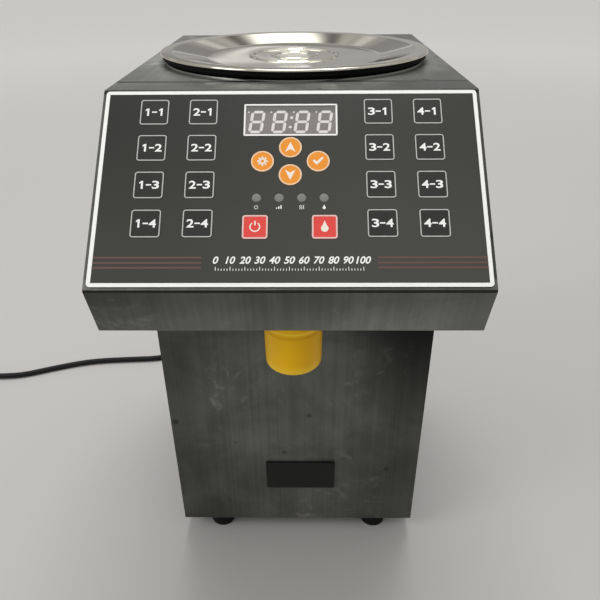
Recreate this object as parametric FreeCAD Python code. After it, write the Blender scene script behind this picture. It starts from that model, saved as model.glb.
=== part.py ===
import FreeCAD, Part
import math
import os

# Countertop fructose dispenser: a folded sheet-metal shell whose head overhangs
# the cup bay, a round syrup tank under a lift-off lid, a gear pump below the
# tank, a membrane panel with sprung keys on the slope, and an outlet nozzle
# with a pull-off cap. Millimetres. The origin is the bottom centre of the
# dispenser without its cord, +Z up, the front faces -Y and +X is to the right.

Vector = FreeCAD.Vector

# ---------------------------------------------------------------- shell sizes
shell_width = 220.0
shell_height = 410.0       # from the shell's lower edge to its top face
body_depth = 232.0         # front panel to rear panel, outside
head_clearance = 292.5     # underside of the head, above the shell's lower edge
fascia_reach = 111.0       # lower edge of the fascia, ahead of the front panel
nose_reach = 122.5         # bend between slope and fascia, ahead of the front panel
nose_rise = 33.0           # that bend, above the underside of the head
brow_reach = 31.5          # bend between top and slope, ahead of the front panel
seam_setback = 25.5        # seam between hood and top cover, behind the brow bend
sheet = 1.0
bend_radius = 1.0          # inside radius of each bend
flange = 12.0
panel_gap = 0.4            # between two panels that butt
past = 1.0                 # how far a cutting shape reaches past the face it cuts
corner_notch = 2.2         # radius of the relief cut in a flange at each bend

# ------------------------------------------------------------ feet and screws
foot_height = 16.0
foot_radius = 13.0
foot_taper = 1.5           # the foot's sole is this much smaller in radius
foot_round = 1.5
foot_inset_x = 35.0        # foot centre, from the shell's side
foot_inset_y = 16.0        # foot centre, from the front or rear panel
foot_recess_radius = 6.0
foot_recess_depth = 9.0
screw_radius = 2.0
screw_head_radius = 3.8
screw_head_height = 2.4
screw_length = 8.0
screw_head_round = 1.2
screw_hole_gap = 0.15      # radial clearance of a screw in its hole
screw_end_gap = 1.0        # between a screw's end and the bottom of a blind hole

# ---------------------------------------------------------------- rear panel
louvre_length = 44.0
louvre_depth = 5.0
louvre_pitch = 14.0
louvre_rows = 6
louvre_column_x = 42.0
louvre_first_rise = 128.0  # lowest louvre, above the shell's lower edge
rear_screw_rises = (24.0, 200.0, 372.0)
base_screw_shares = (0.25, 0.5, 0.75)   # places along the shell's depth
gland_x = -62.0
gland_rise = 30.0
switch_x = 62.0
switch_rise = 44.0

# ---------------------------------------------------------------- tank and lid
tank_front_gap = 8.0       # between the front panel and the tank's bore
tank_radius = 80.0         # inside
tank_wall = 1.0
tank_depth = 255.0
tank_corner = 5.0
tank_flange_width = 15.5   # beyond the bore
tank_flange_wall = 0.8
tank_hole_gap = 1.0
spout_radius = 9.0
spout_wall = 1.5
spout_length = 25.0
lid_reach = 19.3           # the lid's edge, beyond the tank's bore
lid_wall = 0.9
lid_rise = 7.7             # top of the lid's rim, above the shell's top face
lid_rim_width = 9.3
lid_edge_round = 1.2       # outside radius where the rim turns down into its lip
lid_lip_height = 1.8
lid_lip_round = 0.4
lid_slope_width = 25.0     # of the sloping wall between rim and pan
lid_pan_depth = 5.8        # pan floor below the rim
lid_rim_bend = 6.0         # radii of the upper face
lid_pan_bend = 20.0
lid_boss_radii = (16.0, 32.0)
lid_boss_width = 3.2
lid_boss_height = 1.3
lid_boss_crest = 0.45      # width of a ring's crest, as a share of its foot
seal_width = 6.6
seal_chamfer = 1.2
seal_skirt_width = 2.9     # the seal's outer side leans in toward its foot
seal_skirt_height = 2.0
seal_overhang = 1.4        # the rim reaches this far past the seal

# ------------------------------------------------------------- heater, sensor
heater_height = 60.0
heater_rise = 12.0         # above the tank's floor
heater_wall = 3.0
heater_split = 10.0
heater_lug_reach = 12.0
thermostat_radius = 9.0
thermostat_height = 7.0
sensor_inset = 14.0        # sensor's axis, from the left of the tank's bore
sensor_height = 62.0
sensor_stem_radius = 4.0
sensor_thread_radius = 4.7
sensor_thread_length = 14.0
sensor_flange_radius = 8.0
sensor_flange_height = 4.0
sensor_nut_height = 5.0
sensor_stop_radius = 7.0
sensor_stop_height = 4.0
float_radius = 9.0
float_height = 16.0
float_gap = 0.3
float_round = 2.0

# ----------------------------------------------------------------------- pump
gear_teeth = 12
gear_module = 2.5
gear_pressure_angle = 25.0
gear_width = 16.0
gear_backlash = 0.25       # taken off each tooth's thickness
gear_addendum = 2.3
gear_root_depth = 3.0
pump_tip_gap = 0.1
pump_end_gap = 0.1
pump_wall = 8.0
pump_cover_wall = 6.0
pump_shaft_radius = 4.0
pump_shaft_front = 3.0     # the shaft reaches this far into the cover
pump_shaft_grip = 12.0     # and this far into the gearbox
pump_screw_angles = (-60.0, 0.0, 60.0)
running_gap = 0.05
pump_rise = 78.0           # gear axes, above the shell's lower edge
bracket_wall = 3.0
bracket_margin = 2.0       # the bracket is this much wider than the pump at each side
bracket_foot = 55.0
bracket_hole_gap = 3.0     # round the shaft
motor_radius = 25.0
motor_length = 62.0
gearbox_radius = 27.0
gearbox_length = 24.0
motor_hub_radius = 9.0
motor_hub_length = 5.0
motor_terminal = (3.0, 7.0, 6.0)
motor_terminal_x = 12.0    # either side of the motor's axis
motor_terminal_rise = 11.0
spigot_length = 12.0
delivery_spigot_radius = 5.0
delivery_bore_radius = 3.2
hose_wall = 2.0
hose_gap = 0.1
hose_end_gap = 0.5
delivery_rise_inset = 23.0     # upright run of the delivery hose, from the shell's side
delivery_rise_setback = 20.0   # and behind the front panel
delivery_low_rise = 22.0       # lower run, above the shell's lower edge
delivery_high_rise = 44.0      # upper run, above the underside of the head
delivery_bends = (18.0, 16.0, 16.0, 18.0)

# --------------------------------------------------------------------- nozzle
nozzle_setback = 55.5      # nozzle centre, ahead of the front panel
nozzle_cap_height = 61.5
nozzle_cap_radius = 19.9
nozzle_cap_lip_radius = 20.5
nozzle_cap_lip_height = 26.0
nozzle_cap_neck_radius = 19.1
nozzle_cap_neck_height = 5.0
nozzle_cap_taper = 0.5
nozzle_cap_round = 4.0
nozzle_cap_edge_round = 0.6
nozzle_cap_floor_round = 3.0
nozzle_cap_wall = 5.0
nozzle_tube_radius = 14.4
nozzle_tube_length = 50.0
nozzle_tip_radius = 7.0
nozzle_bore_radius = 5.0
nozzle_mouth_radius = 8.0
nozzle_tip_rise = 2.0      # the tip ends this far above the cap's foot
nozzle_throat_rise = 10.0  # the bore narrows this far above the tube's foot
nozzle_throat_length = 4.0
nozzle_flange_radius = 26.0
nozzle_flange_wall = 3.0
slip_gap = 0.3

# -------------------------------------------------------------- control panel
# Places on the slope are counted down it from the brow bend.
overlay_wall = 1.2
overlay_side_margin = 2.1
overlay_top_margin = 1.7
overlay_foot_margin = 1.9
overlay_corner = 2.0
key_wall = 0.6
key_travel = 0.4
key_window_gap = 0.3
key_corner = 1.6
dose_key_size = 16.4
dose_column_inset = 31.1   # centre of the outer column, from the shell's side
dose_column_pitch = 28.4
dose_first_row = 15.7
dose_row_pitch = 23.35
dose_columns = 4
dose_rows = 4
round_key_radius = 6.5
arrow_key_rows = (39.0, 56.3)
side_key_row = 47.85
side_key_x = 15.7
square_key_size = 14.0
square_key_row = 87.9
square_key_x = 19.0
plunger_radius = 2.0
plunger_gap = 0.7          # plunger above the switch body, taken up by its dome
plunger_reach = 2.5        # plunger below the hood's inner face
switch_body = 6.0
switch_body_height = 3.5
board_wall = 1.6
board_side_gap = 17.0      # from the shell's side
board_height = 98.0
board_row = 52.0
board_stud_radius = 1.5
board_stud_inset = 5.0
board_stud_shoulder = 1.5  # the stud's shoulder is this much larger in radius
board_stud_end = 2.0       # beyond the board
processor_size = (18.0, 18.0, 4.0)
processor_place = (-30.0, 45.0)
driver_size = (20.0, 12.0, 8.0)
driver_place = (30.0, 45.0)
header_size = (40.0, 9.0, 9.0)
header_place = (0.0, 80.0)
relay_size = (19.0, 16.0, 15.0)
relay_place = (55.0, 85.0)
display_width = 51.8
display_height = 18.9
display_row = 21.1
display_recess = 0.3
display_corner = 0.6
indicator_radius = 2.6
indicator_gap = 0.1        # round the lens, in the overlay
indicator_dome = 0.25      # the lens is this much higher at its middle
indicator_row = 70.3
indicator_xs = (-18.6, -6.1, 6.4, 18.8)

# --------------------------------------------------------------- power supply
supply_width = 36.0
supply_depth = 98.0
supply_height = 82.0
supply_side_gap = 1.5      # to the side panel's flange
supply_rear_gap = 5.0      # to the rear panel's return
terminal_count = 7
terminal_strip = 16.0
terminal_wall = 1.6

# ---------------------------------------------------------------- rear switch
switch_bezel = (22.0, 31.0, 2.0)
switch_body_size = (18.6, 26.8, 22.0)
switch_cavity_depth = 8.0
switch_blade = (6.0, 8.0, 0.8)
switch_blade_pitch = 8.0
rocker_half_width = 7.2
rocker_half_length = 10.5
rocker_rise = 3.6          # of either end above the pin's axis
rocker_waist = 1.6         # of the middle
rocker_foot = 2.5          # below the axis
rocker_pin_radius = 1.5
rocker_pin_depth = 0.5     # the axis, behind the rear face
rocker_tilt = 8.0          # degrees either way
rocker_gap = 0.5

# ----------------------------------------------------------------------- cord
cord_radius = 3.5
cord_inside = 12.0         # the cord's end, inside the rear panel
cord_turns = ((-62.0, 220.0, 46.0), (-66.0, 246.0, 42.0), (-79.0, 266.0, 33.0),
              (-101.0, 274.0, 21.5), (-127.0, 268.0, 11.0), (-155.0, 248.5, 4.8),
              (-191.0, 226.5, 3.6), (-240.0, 223.5, 3.6), (-292.0, 219.0, 3.6),
              (-338.0, 203.0, 3.6), (-376.0, 186.5, 3.6), (-416.0, 185.0, 3.6))
cord_turn_share = 0.45     # of the shorter run beside a turn, taken up by the turn
gland_nut_radius = 10.0
gland_nut_height = 4.0
gland_thread_radius = 7.5
gland_inner_nut_radius = 9.0
gland_nut_inside = 5.0
relief_length = 24.0
relief_radii = (7.5, 4.6)
relief_grooves = 4
relief_groove_radius = 1.0
coil_turn_radii = (42.5, 35.5)
coil_layers = 2
coil_centre = (-480.0, 142.5)
cord_rest_z = 3.6          # cord centre where it lies
coil_edge_round = 3.0
coil_lead_in = 28.0
coil_lead_out = 40.0
plug_length = 40.0
plug_width = 26.0
plug_height = 21.0
plug_round = 4.0
plug_sleeve_length = 22.0
plug_sleeve_radii = (4.3, 7.0)
blade_length = 16.0
blade_spacing = 12.7
blade_size = (1.5, 6.3)
blade_rise = 1.65
earth_pin_length = 20.0
earth_pin_radius = 2.4
earth_pin_drop = 6.5

# -------------------------------------------------------------------- datums
half_width = shell_width / 2
front_y = (nose_reach - body_depth - louvre_depth) / 2
rear_y = front_y + body_depth
base_z = foot_height
top_z = base_z + shell_height
head_z = base_z + head_clearance
seam_y = front_y - brow_reach + seam_setback
tank_y = front_y + tank_front_gap + tank_radius
tank_floor_z = top_z - tank_depth
nozzle_y = front_y - nozzle_setback
pump_z = base_z + pump_rise
gland_z = base_z + gland_rise
switch_z = base_z + switch_rise

front_foot = (front_y, base_z)
rear_foot = (rear_y, base_z)
rear_top = (rear_y, top_z)
brow = (front_y - brow_reach, top_z)
nose = (front_y - nose_reach, head_z + nose_rise)
fascia_foot = (front_y - fascia_reach, head_z)
front_head = (front_y, head_z)
shell_outline = [front_foot, rear_foot, rear_top, brow, nose, fascia_foot, front_head]

nodes = {}


# -------------------------------------------------------------------- helpers
def box(x_span, y_span, z_span):
    low = Vector(x_span[0], y_span[0], z_span[0])
    return Part.makeBox(x_span[1] - x_span[0], y_span[1] - y_span[0], z_span[1] - z_span[0], low)


def rod(radius, start, end):
    start = Vector(*start)
    axis = Vector(*end) - start
    return Part.makeCylinder(radius, axis.Length, start, axis)


def fused(shapes):
    return shapes[0].multiFuse(shapes[1:]).removeSplitter()


def solid_of(shape):
    """The one solid of a boolean's result."""
    return shape.Solids[0] if len(shape.Solids) == 1 else shape


def rounded_edges(corners, radii):
    """Straight edges along the corners, joined by tangent arcs."""
    edges = []
    start = corners[0]
    for before, corner, after, radius in zip(corners, corners[1:], corners[2:], radii):
        if radius == 0:
            edges.append(Part.LineSegment(start, corner).toShape())
            start = corner
            continue
        to_before = (before - corner).normalize()
        to_after = (after - corner).normalize()
        half_turn = (math.pi - to_before.getAngle(to_after)) / 2
        reach = radius * math.tan(half_turn)
        inward = (to_before + to_after).normalize()
        middle = corner + inward * (radius / math.cos(half_turn) - radius)
        arc_start = corner + to_before * reach
        arc_end = corner + to_after * reach
        if (arc_start - start).Length > 1e-6:
            edges.append(Part.LineSegment(start, arc_start).toShape())
        edges.append(Part.Arc(arc_start, middle, arc_end).toShape())
        start = arc_end
    if (corners[-1] - start).Length > 1e-6:
        edges.append(Part.LineSegment(start, corners[-1]).toShape())
    return edges


def side_points(points):
    """(y, z) points as vectors in the plane x = 0."""
    return [Vector(0, y, z) for y, z in points]


def offset_path(points, distance, closed=False):
    """A (y, z) path moved to its left, with mitred corners."""
    moved = []
    count = len(points)
    for index, (y, z) in enumerate(points):
        normals = []
        for first in (index - 1, index):
            if closed or 0 <= first < count - 1:
                y0, z0 = points[first % count]
                y1, z1 = points[(first + 1) % count]
                length = math.hypot(y1 - y0, z1 - z0)
                normals.append(((z0 - z1) / length, (y1 - y0) / length))
        sum_y = normals[0][0] + normals[-1][0]
        sum_z = normals[0][1] + normals[-1][1]
        mitre = 2 * distance / (sum_y ** 2 + sum_z ** 2)
        moved.append((y + sum_y * mitre, z + sum_z * mitre))
    return moved


def turns_left(before, corner, after):
    step_y, step_z = corner[0] - before[0], corner[1] - before[1]
    next_y, next_z = after[0] - corner[0], after[1] - corner[1]
    return step_y * next_z - step_z * next_y > 0


def bent_sheet(outer, half_span, wall=sheet, inside_radius=bend_radius):
    """Bent sheet across X; its outer face follows the (y, z) path, the metal lies to the left."""
    inner = offset_path(outer, wall)
    outer_radii = []
    inner_radii = []
    for before, corner, after in zip(outer, outer[1:], outer[2:]):
        left = turns_left(before, corner, after)
        outer_radii.append(inside_radius + wall if left else inside_radius)
        inner_radii.append(inside_radius if left else inside_radius + wall)
    outer_points = side_points(outer)
    inner_points = side_points(inner)
    edges = rounded_edges(outer_points, outer_radii)
    edges.append(Part.LineSegment(outer_points[-1], inner_points[-1]).toShape())
    edges += rounded_edges(inner_points[::-1], inner_radii[::-1])
    edges.append(Part.LineSegment(inner_points[0], outer_points[0]).toShape())
    profile = Part.Face(Part.Wire(edges))
    profile.translate(Vector(-half_span, 0, 0))
    return profile.extrude(Vector(2 * half_span, 0, 0))


def outline_face(points, radius):
    """Closed (y, z) outline as a face; outside corners rounded, the inside corner sharp."""
    vectors = side_points(points)
    start = (vectors[-1] + vectors[0]) * 0.5
    radii = []
    for index, point in enumerate(points):
        left = turns_left(points[index - 1], point, points[(index + 1) % len(points)])
        radii.append(radius if left else 0)
    return Part.Face(Part.Wire(rounded_edges([start] + vectors + [start], radii)))


def turned(profile, centre_x, centre_y):
    """Solid of revolution about a vertical axis, from (radius, z) points."""
    points = [Vector(radius, 0, z) for radius, z in profile]
    face = Part.Face(Part.makePolygon(points + points[:1]))
    solid = face.revolve(Vector(0, 0, 0), Vector(0, 0, 1), 360)
    solid.translate(Vector(centre_x, centre_y, 0))
    return solid


def turned_round(corners, radii, centre_x, centre_y):
    """The same, with rounded corners; the closed profile starts and ends at its first corner."""
    points = [Vector(radius, 0, z) for radius, z in corners]
    face = Part.Face(Part.Wire(rounded_edges(points + points[:1], radii)))
    solid = face.revolve(Vector(0, 0, 0), Vector(0, 0, 1), 360)
    solid.translate(Vector(centre_x, centre_y, 0))
    return solid


def pipe(corners, radii, outer_radius, inner_radius=0.0):
    """Round tube or bar along straight runs and tangent arcs."""
    path = Part.Wire(rounded_edges(corners, radii))
    direction = corners[1] - corners[0]
    solids = []
    for radius in (outer_radius, inner_radius):
        if radius > 0:
            ring = Part.Wire(Part.makeCircle(radius, corners[0], direction))
            solids.append(path.makePipeShell([ring], True, False))
    return solids[0].cut(solids[1]) if inner_radius > 0 else solids[0]


def rounded_rectangle(width, height, radius, centre=(0.0, 0.0)):
    """Face in the XY plane."""
    x, y = centre
    half_x, half_y = width / 2, height / 2
    points = [Vector(x, y - half_y, 0), Vector(x + half_x, y - half_y, 0),
              Vector(x + half_x, y + half_y, 0), Vector(x - half_x, y + half_y, 0),
              Vector(x - half_x, y - half_y, 0), Vector(x, y - half_y, 0)]
    return Part.Face(Part.Wire(rounded_edges(points, [radius] * 4)))


def slab(face, low, high):
    """A face in the XY plane made solid between two heights."""
    lowered = face.copy()
    lowered.translate(Vector(0, 0, low))
    return lowered.extrude(Vector(0, 0, high - low))


# ------------------------------------------------- frame of the sloping panel
slope_length = math.hypot(nose[0] - brow[0], nose[1] - brow[1])
slope_rise = (brow[1] - nose[1]) / slope_length
slope_run = (brow[0] - nose[0]) / slope_length
slope_up = Vector(0, slope_run, slope_rise)
slope_out = Vector(0, -slope_rise, slope_run)
slope_place = FreeCAD.Placement(
    Vector(0, brow[0], brow[1]),
    FreeCAD.Rotation(Vector(1, 0, 0), slope_up, slope_out, "ZXY"))


def on_slope(shape):
    """Place a shape drawn with X across, Y up the slope from the brow and Z outward."""
    placed = shape.copy()
    placed.Placement = slope_place.multiply(placed.Placement)
    return placed


class Key:
    """A sprung key: a flush cap in the overlay's window with a plunger behind it."""

    def __init__(self, name, x, row, size, is_round):
        self.name = name
        self.x = x
        self.y = -row
        self.size = size
        self.is_round = is_round

    def outline(self, grow):
        if self.is_round:
            circle = Part.makeCircle(self.size + grow, Vector(self.x, self.y, 0))
            return Part.Face(Part.Wire(circle))
        side = self.size + 2 * grow
        return rounded_rectangle(side, side, key_corner + grow, (self.x, self.y))


def panel_keys():
    keys = []
    for column in range(dose_columns):
        from_side = min(column, dose_columns - 1 - column)
        x = half_width - dose_column_inset - from_side * dose_column_pitch
        if column < dose_columns / 2:
            x = -x
        for row in range(dose_rows):
            name = f"dose_key_{column + 1}_{row + 1}"
            place = dose_first_row + row * dose_row_pitch
            keys.append(Key(name, x, place, dose_key_size, False))
    keys.append(Key("key_up", 0.0, arrow_key_rows[0], round_key_radius, True))
    keys.append(Key("key_down", 0.0, arrow_key_rows[1], round_key_radius, True))
    keys.append(Key("key_set", -side_key_x, side_key_row, round_key_radius, True))
    keys.append(Key("key_save", side_key_x, side_key_row, round_key_radius, True))
    keys.append(Key("key_power", -square_key_x, square_key_row, square_key_size, False))
    keys.append(Key("key_output", square_key_x, square_key_row, square_key_size, False))
    return keys


def display_outline(grow):
    return rounded_rectangle(display_width + 2 * grow, display_height + 2 * grow,
                             display_corner + grow, (0, -display_row))


keys = panel_keys()
board_width = shell_width - 2 * board_side_gap
board_face = -(sheet + plunger_reach + plunger_gap + switch_body_height)
overlay_height = slope_length - overlay_top_margin - overlay_foot_margin
overlay_middle = -(overlay_top_margin + overlay_height / 2)
stud_places = [(x, -board_row + y)
               for x in (board_stud_inset - board_width / 2, board_width / 2 - board_stud_inset)
               for y in (board_stud_inset - board_height / 2, board_height / 2 - board_stud_inset)]


# ---------------------------------------------------------------- sheet shell
def side_panel(sign):
    """Side sheet with a flange all round, on which the covers lie."""
    outer = offset_path(shell_outline, sheet, closed=True)
    inner = offset_path(shell_outline, 2 * sheet, closed=True)
    tray = outline_face(outer, bend_radius).extrude(Vector(flange, 0, 0))
    hollow = outline_face(inner, 0).extrude(Vector(flange - sheet, 0, 0))
    panel = tray.cut(hollow)
    notches = [rod(corner_notch, (-past, y, z), (flange - sheet, y, z)) for y, z in outer]
    panel = panel.cut(Part.makeCompound(notches))
    panel.translate(Vector(half_width - flange, 0, 0))
    drills = []
    for x, y, z in rear_screw_places():
        drills.append(rod(screw_radius + screw_hole_gap, (x, y - screw_length, z), (x, y, z)))
    for x, y, z in base_screw_places():
        drills.append(rod(screw_radius + screw_hole_gap, (x, y, z), (x, y, z + screw_length)))
    panel = panel.cut(Part.makeCompound(drills))
    if sign < 0:
        panel = panel.mirror(Vector(0, 0, 0), Vector(1, 0, 0))
    return solid_of(panel)


def rear_screw_places():
    x = half_width - flange / 2
    return [(x, rear_y, base_z + rise) for rise in rear_screw_rises]


def base_screw_places():
    x = half_width - flange / 2
    return [(x, front_y + body_depth * share, base_z) for share in base_screw_shares]


def both_sides(places):
    return places + [(-x, y, z) for x, y, z in places]


def inner_tab(shape, z_span, y_span):
    """Cut a cover's end flange back at both sides, so it passes between the side flanges."""
    tab_half = half_width - flange - sheet
    for x_span in ((-half_width - past, -tab_half), (tab_half, half_width + past)):
        shape = shape.cut(box(x_span, y_span, z_span))
    return shape


def front_hood():
    """Top flange, slope, fascia and its return in one bent sheet, with welded board studs."""
    path = [(seam_y - panel_gap, top_z), brow, nose, fascia_foot,
            (fascia_foot[0] + flange, fascia_foot[1])]
    hood = bent_sheet(path, half_width)
    cuts = [slab(display_outline(key_window_gap), -sheet - past, past)]
    for key in keys:
        radius = plunger_radius + key_window_gap
        cuts.append(rod(radius, (key.x, key.y, -sheet - past), (key.x, key.y, past)))
    for x in indicator_xs:
        radius = indicator_radius + key_window_gap
        cuts.append(rod(radius, (x, -indicator_row, -sheet - past), (x, -indicator_row, past)))
    hood = hood.cut(on_slope(Part.makeCompound(cuts)))
    studs = []
    for x, y in stud_places:
        end = board_face - board_wall - board_stud_end
        shoulder = board_stud_radius + board_stud_shoulder
        studs.append(rod(board_stud_radius, (x, y, -sheet), (x, y, end)))
        studs.append(rod(shoulder, (x, y, -sheet), (x, y, board_face)))
    return solid_of(hood.fuse([on_slope(stud) for stud in studs]).removeSplitter())


def top_cover():
    path = [(rear_y, top_z - flange), rear_top, (seam_y, top_z), (seam_y, top_z - flange)]
    cover = bent_sheet(path, half_width)
    cover = inner_tab(cover, (top_z - 2 * flange, top_z - sheet), (seam_y - past, seam_y + 2 * sheet))
    radius = tank_radius + tank_wall + tank_hole_gap
    hole = rod(radius, (0, tank_y, top_z - sheet - past), (0, tank_y, top_z + past))
    return solid_of(cover.cut(hole))


def front_panel():
    path = [(front_y, head_z + flange), front_foot, (front_y + flange, base_z)]
    panel = bent_sheet(path, half_width)
    return solid_of(inner_tab(panel, (head_z + sheet, head_z + 2 * flange),
                              (front_y - past, front_y + 2 * sheet)))


def nozzle_plate():
    """Underside of the head, with an upturned flange against the front panel."""
    path = [(fascia_foot[0] + flange + panel_gap, head_z), front_head, (front_y, head_z + flange)]
    plate = bent_sheet(path, half_width)
    plate = inner_tab(plate, (head_z + sheet, head_z + 2 * flange), (front_y - 3 * sheet, front_y + past))
    hole = rod(nozzle_tube_radius + slip_gap, (0, nozzle_y, head_z - past),
               (0, nozzle_y, head_z + sheet + past))
    return solid_of(plate.cut(hole))


def louvre_places():
    places = []
    for row in range(louvre_rows):
        z = base_z + louvre_first_rise + row * louvre_pitch
        places += [(-louvre_column_x, z), (louvre_column_x, z)]
    return places


def capsule(radius, length, x, y, z):
    """Bar along X with round ends."""
    half = length / 2 - radius
    ends = [Part.makeSphere(radius, Vector(x + side * half, y, z)) for side in (-1, 1)]
    return fused([rod(radius, (x - half, y, z), (x + half, y, z))] + ends)


def rear_panel():
    """Rear sheet with pressed louvres that open downward, a gland hole and a switch cut-out."""
    path = [(rear_y - flange, base_z), rear_foot, (rear_y, top_z - flange - panel_gap)]
    panel = bent_sheet(path, half_width)
    hoods = []
    slots = []
    for x, z in louvre_places():
        reach = (x - louvre_length, x + louvre_length)
        upper_outside = box(reach, (rear_y - sheet, rear_y + 2 * louvre_depth), (z, z + 2 * louvre_depth))
        outer = capsule(louvre_depth, louvre_length, x, rear_y, z)
        inner = capsule(louvre_depth - sheet, louvre_length - 2 * sheet, x, rear_y, z)
        hoods.append(outer.common(upper_outside))
        slots.append(inner.common(upper_outside))
    panel = panel.fuse(hoods).cut(Part.makeCompound(slots))
    before = rear_y - sheet - past
    behind = rear_y + past
    cuts = [rod(gland_thread_radius + slip_gap, (gland_x, before, gland_z), (gland_x, behind, gland_z))]
    half_x = switch_body_size[0] / 2 + slip_gap
    half_z = switch_body_size[1] / 2 + slip_gap
    cuts.append(box((switch_x - half_x, switch_x + half_x), (before, behind),
                    (switch_z - half_z, switch_z + half_z)))
    for x, y, z in both_sides(rear_screw_places()):
        cuts.append(rod(screw_radius + screw_hole_gap, (x, before, z), (x, behind, z)))
    return solid_of(panel.cut(Part.makeCompound(cuts)).removeSplitter())


def foot_places():
    x = half_width - foot_inset_x
    return [(side * x, y) for side in (-1, 1)
            for y in (front_y + foot_inset_y, rear_y - foot_inset_y)]


def base_plate():
    """Floor sheet with upturned edges at front and rear."""
    front = front_y + flange + panel_gap
    rear = rear_y - flange - panel_gap
    path = [(front, base_z + flange), (front, base_z), (rear, base_z), (rear, base_z + flange)]
    plate = bent_sheet(path, half_width)
    edge = (base_z + sheet, base_z + 2 * flange)
    plate = inner_tab(plate, edge, (front - past, front + 3 * sheet))
    plate = inner_tab(plate, edge, (rear - 3 * sheet, rear + past))
    places = [(x, y) for x, y, z in both_sides(base_screw_places())] + foot_places()
    cuts = [rod(screw_radius + screw_hole_gap, (x, y, base_z - past), (x, y, base_z + sheet + past))
            for x, y in places]
    return solid_of(plate.cut(Part.makeCompound(cuts)))


def rubber_feet():
    feet = []
    bore = screw_radius + screw_hole_gap
    sole = foot_radius - foot_taper
    for x, y in foot_places():
        corners = [(foot_recess_radius, 0), (sole, 0), (foot_radius, base_z), (bore, base_z),
                   (bore, foot_recess_depth), (foot_recess_radius, foot_recess_depth)]
        feet.append(turned_round(corners, [foot_round, 0, 0, 0, 0], x, y))
    return Part.makeCompound(feet)


def screw(seat, direction):
    """Pan-head screw whose head sits on a face at the seat and whose shank goes along direction."""
    head_top = seat - direction * screw_head_height
    head = Part.makeCylinder(screw_head_radius, screw_head_height, head_top, direction)
    rim = [edge for edge in head.Edges if edge.CenterOfMass.isEqual(head_top, 1e-6)]
    head = head.makeFillet(screw_head_round, rim)
    shank = Part.makeCylinder(screw_radius, screw_length, seat, direction)
    return head.fuse(shank).removeSplitter()


def screws():
    """Rear and base panel screws, foot screws and pump cover screws."""
    group = []
    for x, y, z in both_sides(rear_screw_places()):
        group.append(screw(Vector(x, y, z), Vector(0, -1, 0)))
    for x, y, z in both_sides(base_screw_places()):
        group.append(screw(Vector(x, y, z), Vector(0, 0, 1)))
    for x, y in foot_places():
        group.append(screw(Vector(x, y, foot_recess_depth), Vector(0, 0, 1)))
    for x, z in pump_screw_places():
        group.append(screw(Vector(x, pump_cover_y, z), Vector(0, 1, 0)))
    return Part.makeCompound(group)


# ------------------------------------------------------------------- the tank
sensor_offset = tank_radius - sensor_inset


def tank():
    """Drawn pot with a flat flange on the top cover and a spout under its floor."""
    outer = tank_radius + tank_wall
    floor = tank_floor_z + tank_wall
    bore = spout_radius - spout_wall
    flange_top = top_z + tank_flange_wall
    flange_radius = tank_radius + tank_flange_width
    corners = [(bore, floor), (tank_radius, floor), (tank_radius, flange_top),
               (flange_radius, flange_top), (flange_radius, top_z), (outer, top_z),
               (outer, tank_floor_z), (spout_radius, tank_floor_z),
               (spout_radius, tank_floor_z - spout_length), (bore, tank_floor_z - spout_length)]
    radii = [tank_corner, tank_flange_wall, 0, 0, 0, tank_corner + tank_wall, 0, 0, 0]
    pot = turned_round(corners, radii, 0, tank_y)
    sensor_hole = rod(sensor_thread_radius + slip_gap, (-sensor_offset, tank_y, tank_floor_z - past),
                      (-sensor_offset, tank_y, floor + past))
    return solid_of(pot.cut(sensor_hole))


lid_radius = tank_radius + lid_reach
rim_top_z = top_z + lid_rise
rim_under_z = rim_top_z - lid_wall
rim_inner = lid_radius - lid_rim_width
pan_radius = rim_inner - lid_slope_width
pan_top_z = rim_top_z - lid_pan_depth


def lid():
    """Pressed lid: rim with a turned-down lip, sloping wall, pan and two raised rings."""
    lip_z = rim_top_z - lid_lip_height
    lip_inner = lid_radius - lid_wall
    pan_under_z = pan_top_z - lid_wall
    slope_angle = math.atan(lid_pan_depth / lid_slope_width)
    shift = lid_wall * math.tan(slope_angle / 2)    # bends of the lower face lie further out
    upper = [(0, pan_top_z), (pan_radius, pan_top_z), (rim_inner, rim_top_z), (lid_radius, rim_top_z)]
    lip = [(lid_radius, lip_z), (lip_inner, lip_z), (lip_inner, rim_under_z)]
    lower = [(rim_inner + shift, rim_under_z), (pan_radius + shift, pan_under_z), (0, pan_under_z)]
    radii = [lid_pan_bend, lid_rim_bend, lid_edge_round,
             lid_lip_round, lid_lip_round, lid_edge_round - lid_wall,
             lid_rim_bend - lid_wall, lid_pan_bend + lid_wall, 0]
    dish = turned_round(upper + lip + lower, radii, 0, tank_y)
    raised = []
    for radius in lid_boss_radii:
        half = lid_boss_width / 2
        crest_half = half * lid_boss_crest
        foot_z = pan_top_z - lid_wall / 2
        crest_z = pan_top_z + lid_boss_height
        ring = [(radius - half, foot_z), (radius + half, foot_z), (radius + half, pan_top_z),
                (radius + crest_half, crest_z), (radius - crest_half, crest_z),
                (radius - half, pan_top_z)]
        raised.append(turned(ring, 0, tank_y))
    return solid_of(dish.fuse(raised).removeSplitter())


def lid_seal():
    """Silicone ring bonded under the lid's rim; it rests on the tank's flange."""
    outer = lid_radius - seal_overhang
    inner = outer - seal_width
    foot = top_z + tank_flange_wall
    corners = [(inner, foot + seal_chamfer), (inner + seal_chamfer, foot),
               (outer - seal_skirt_width, foot), (outer, foot + seal_skirt_height),
               (outer, rim_under_z), (inner, rim_under_z)]
    edge_round = seal_chamfer / 3
    return turned_round(corners, [edge_round, edge_round, edge_round, 0, 0], 0, tank_y)


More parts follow.
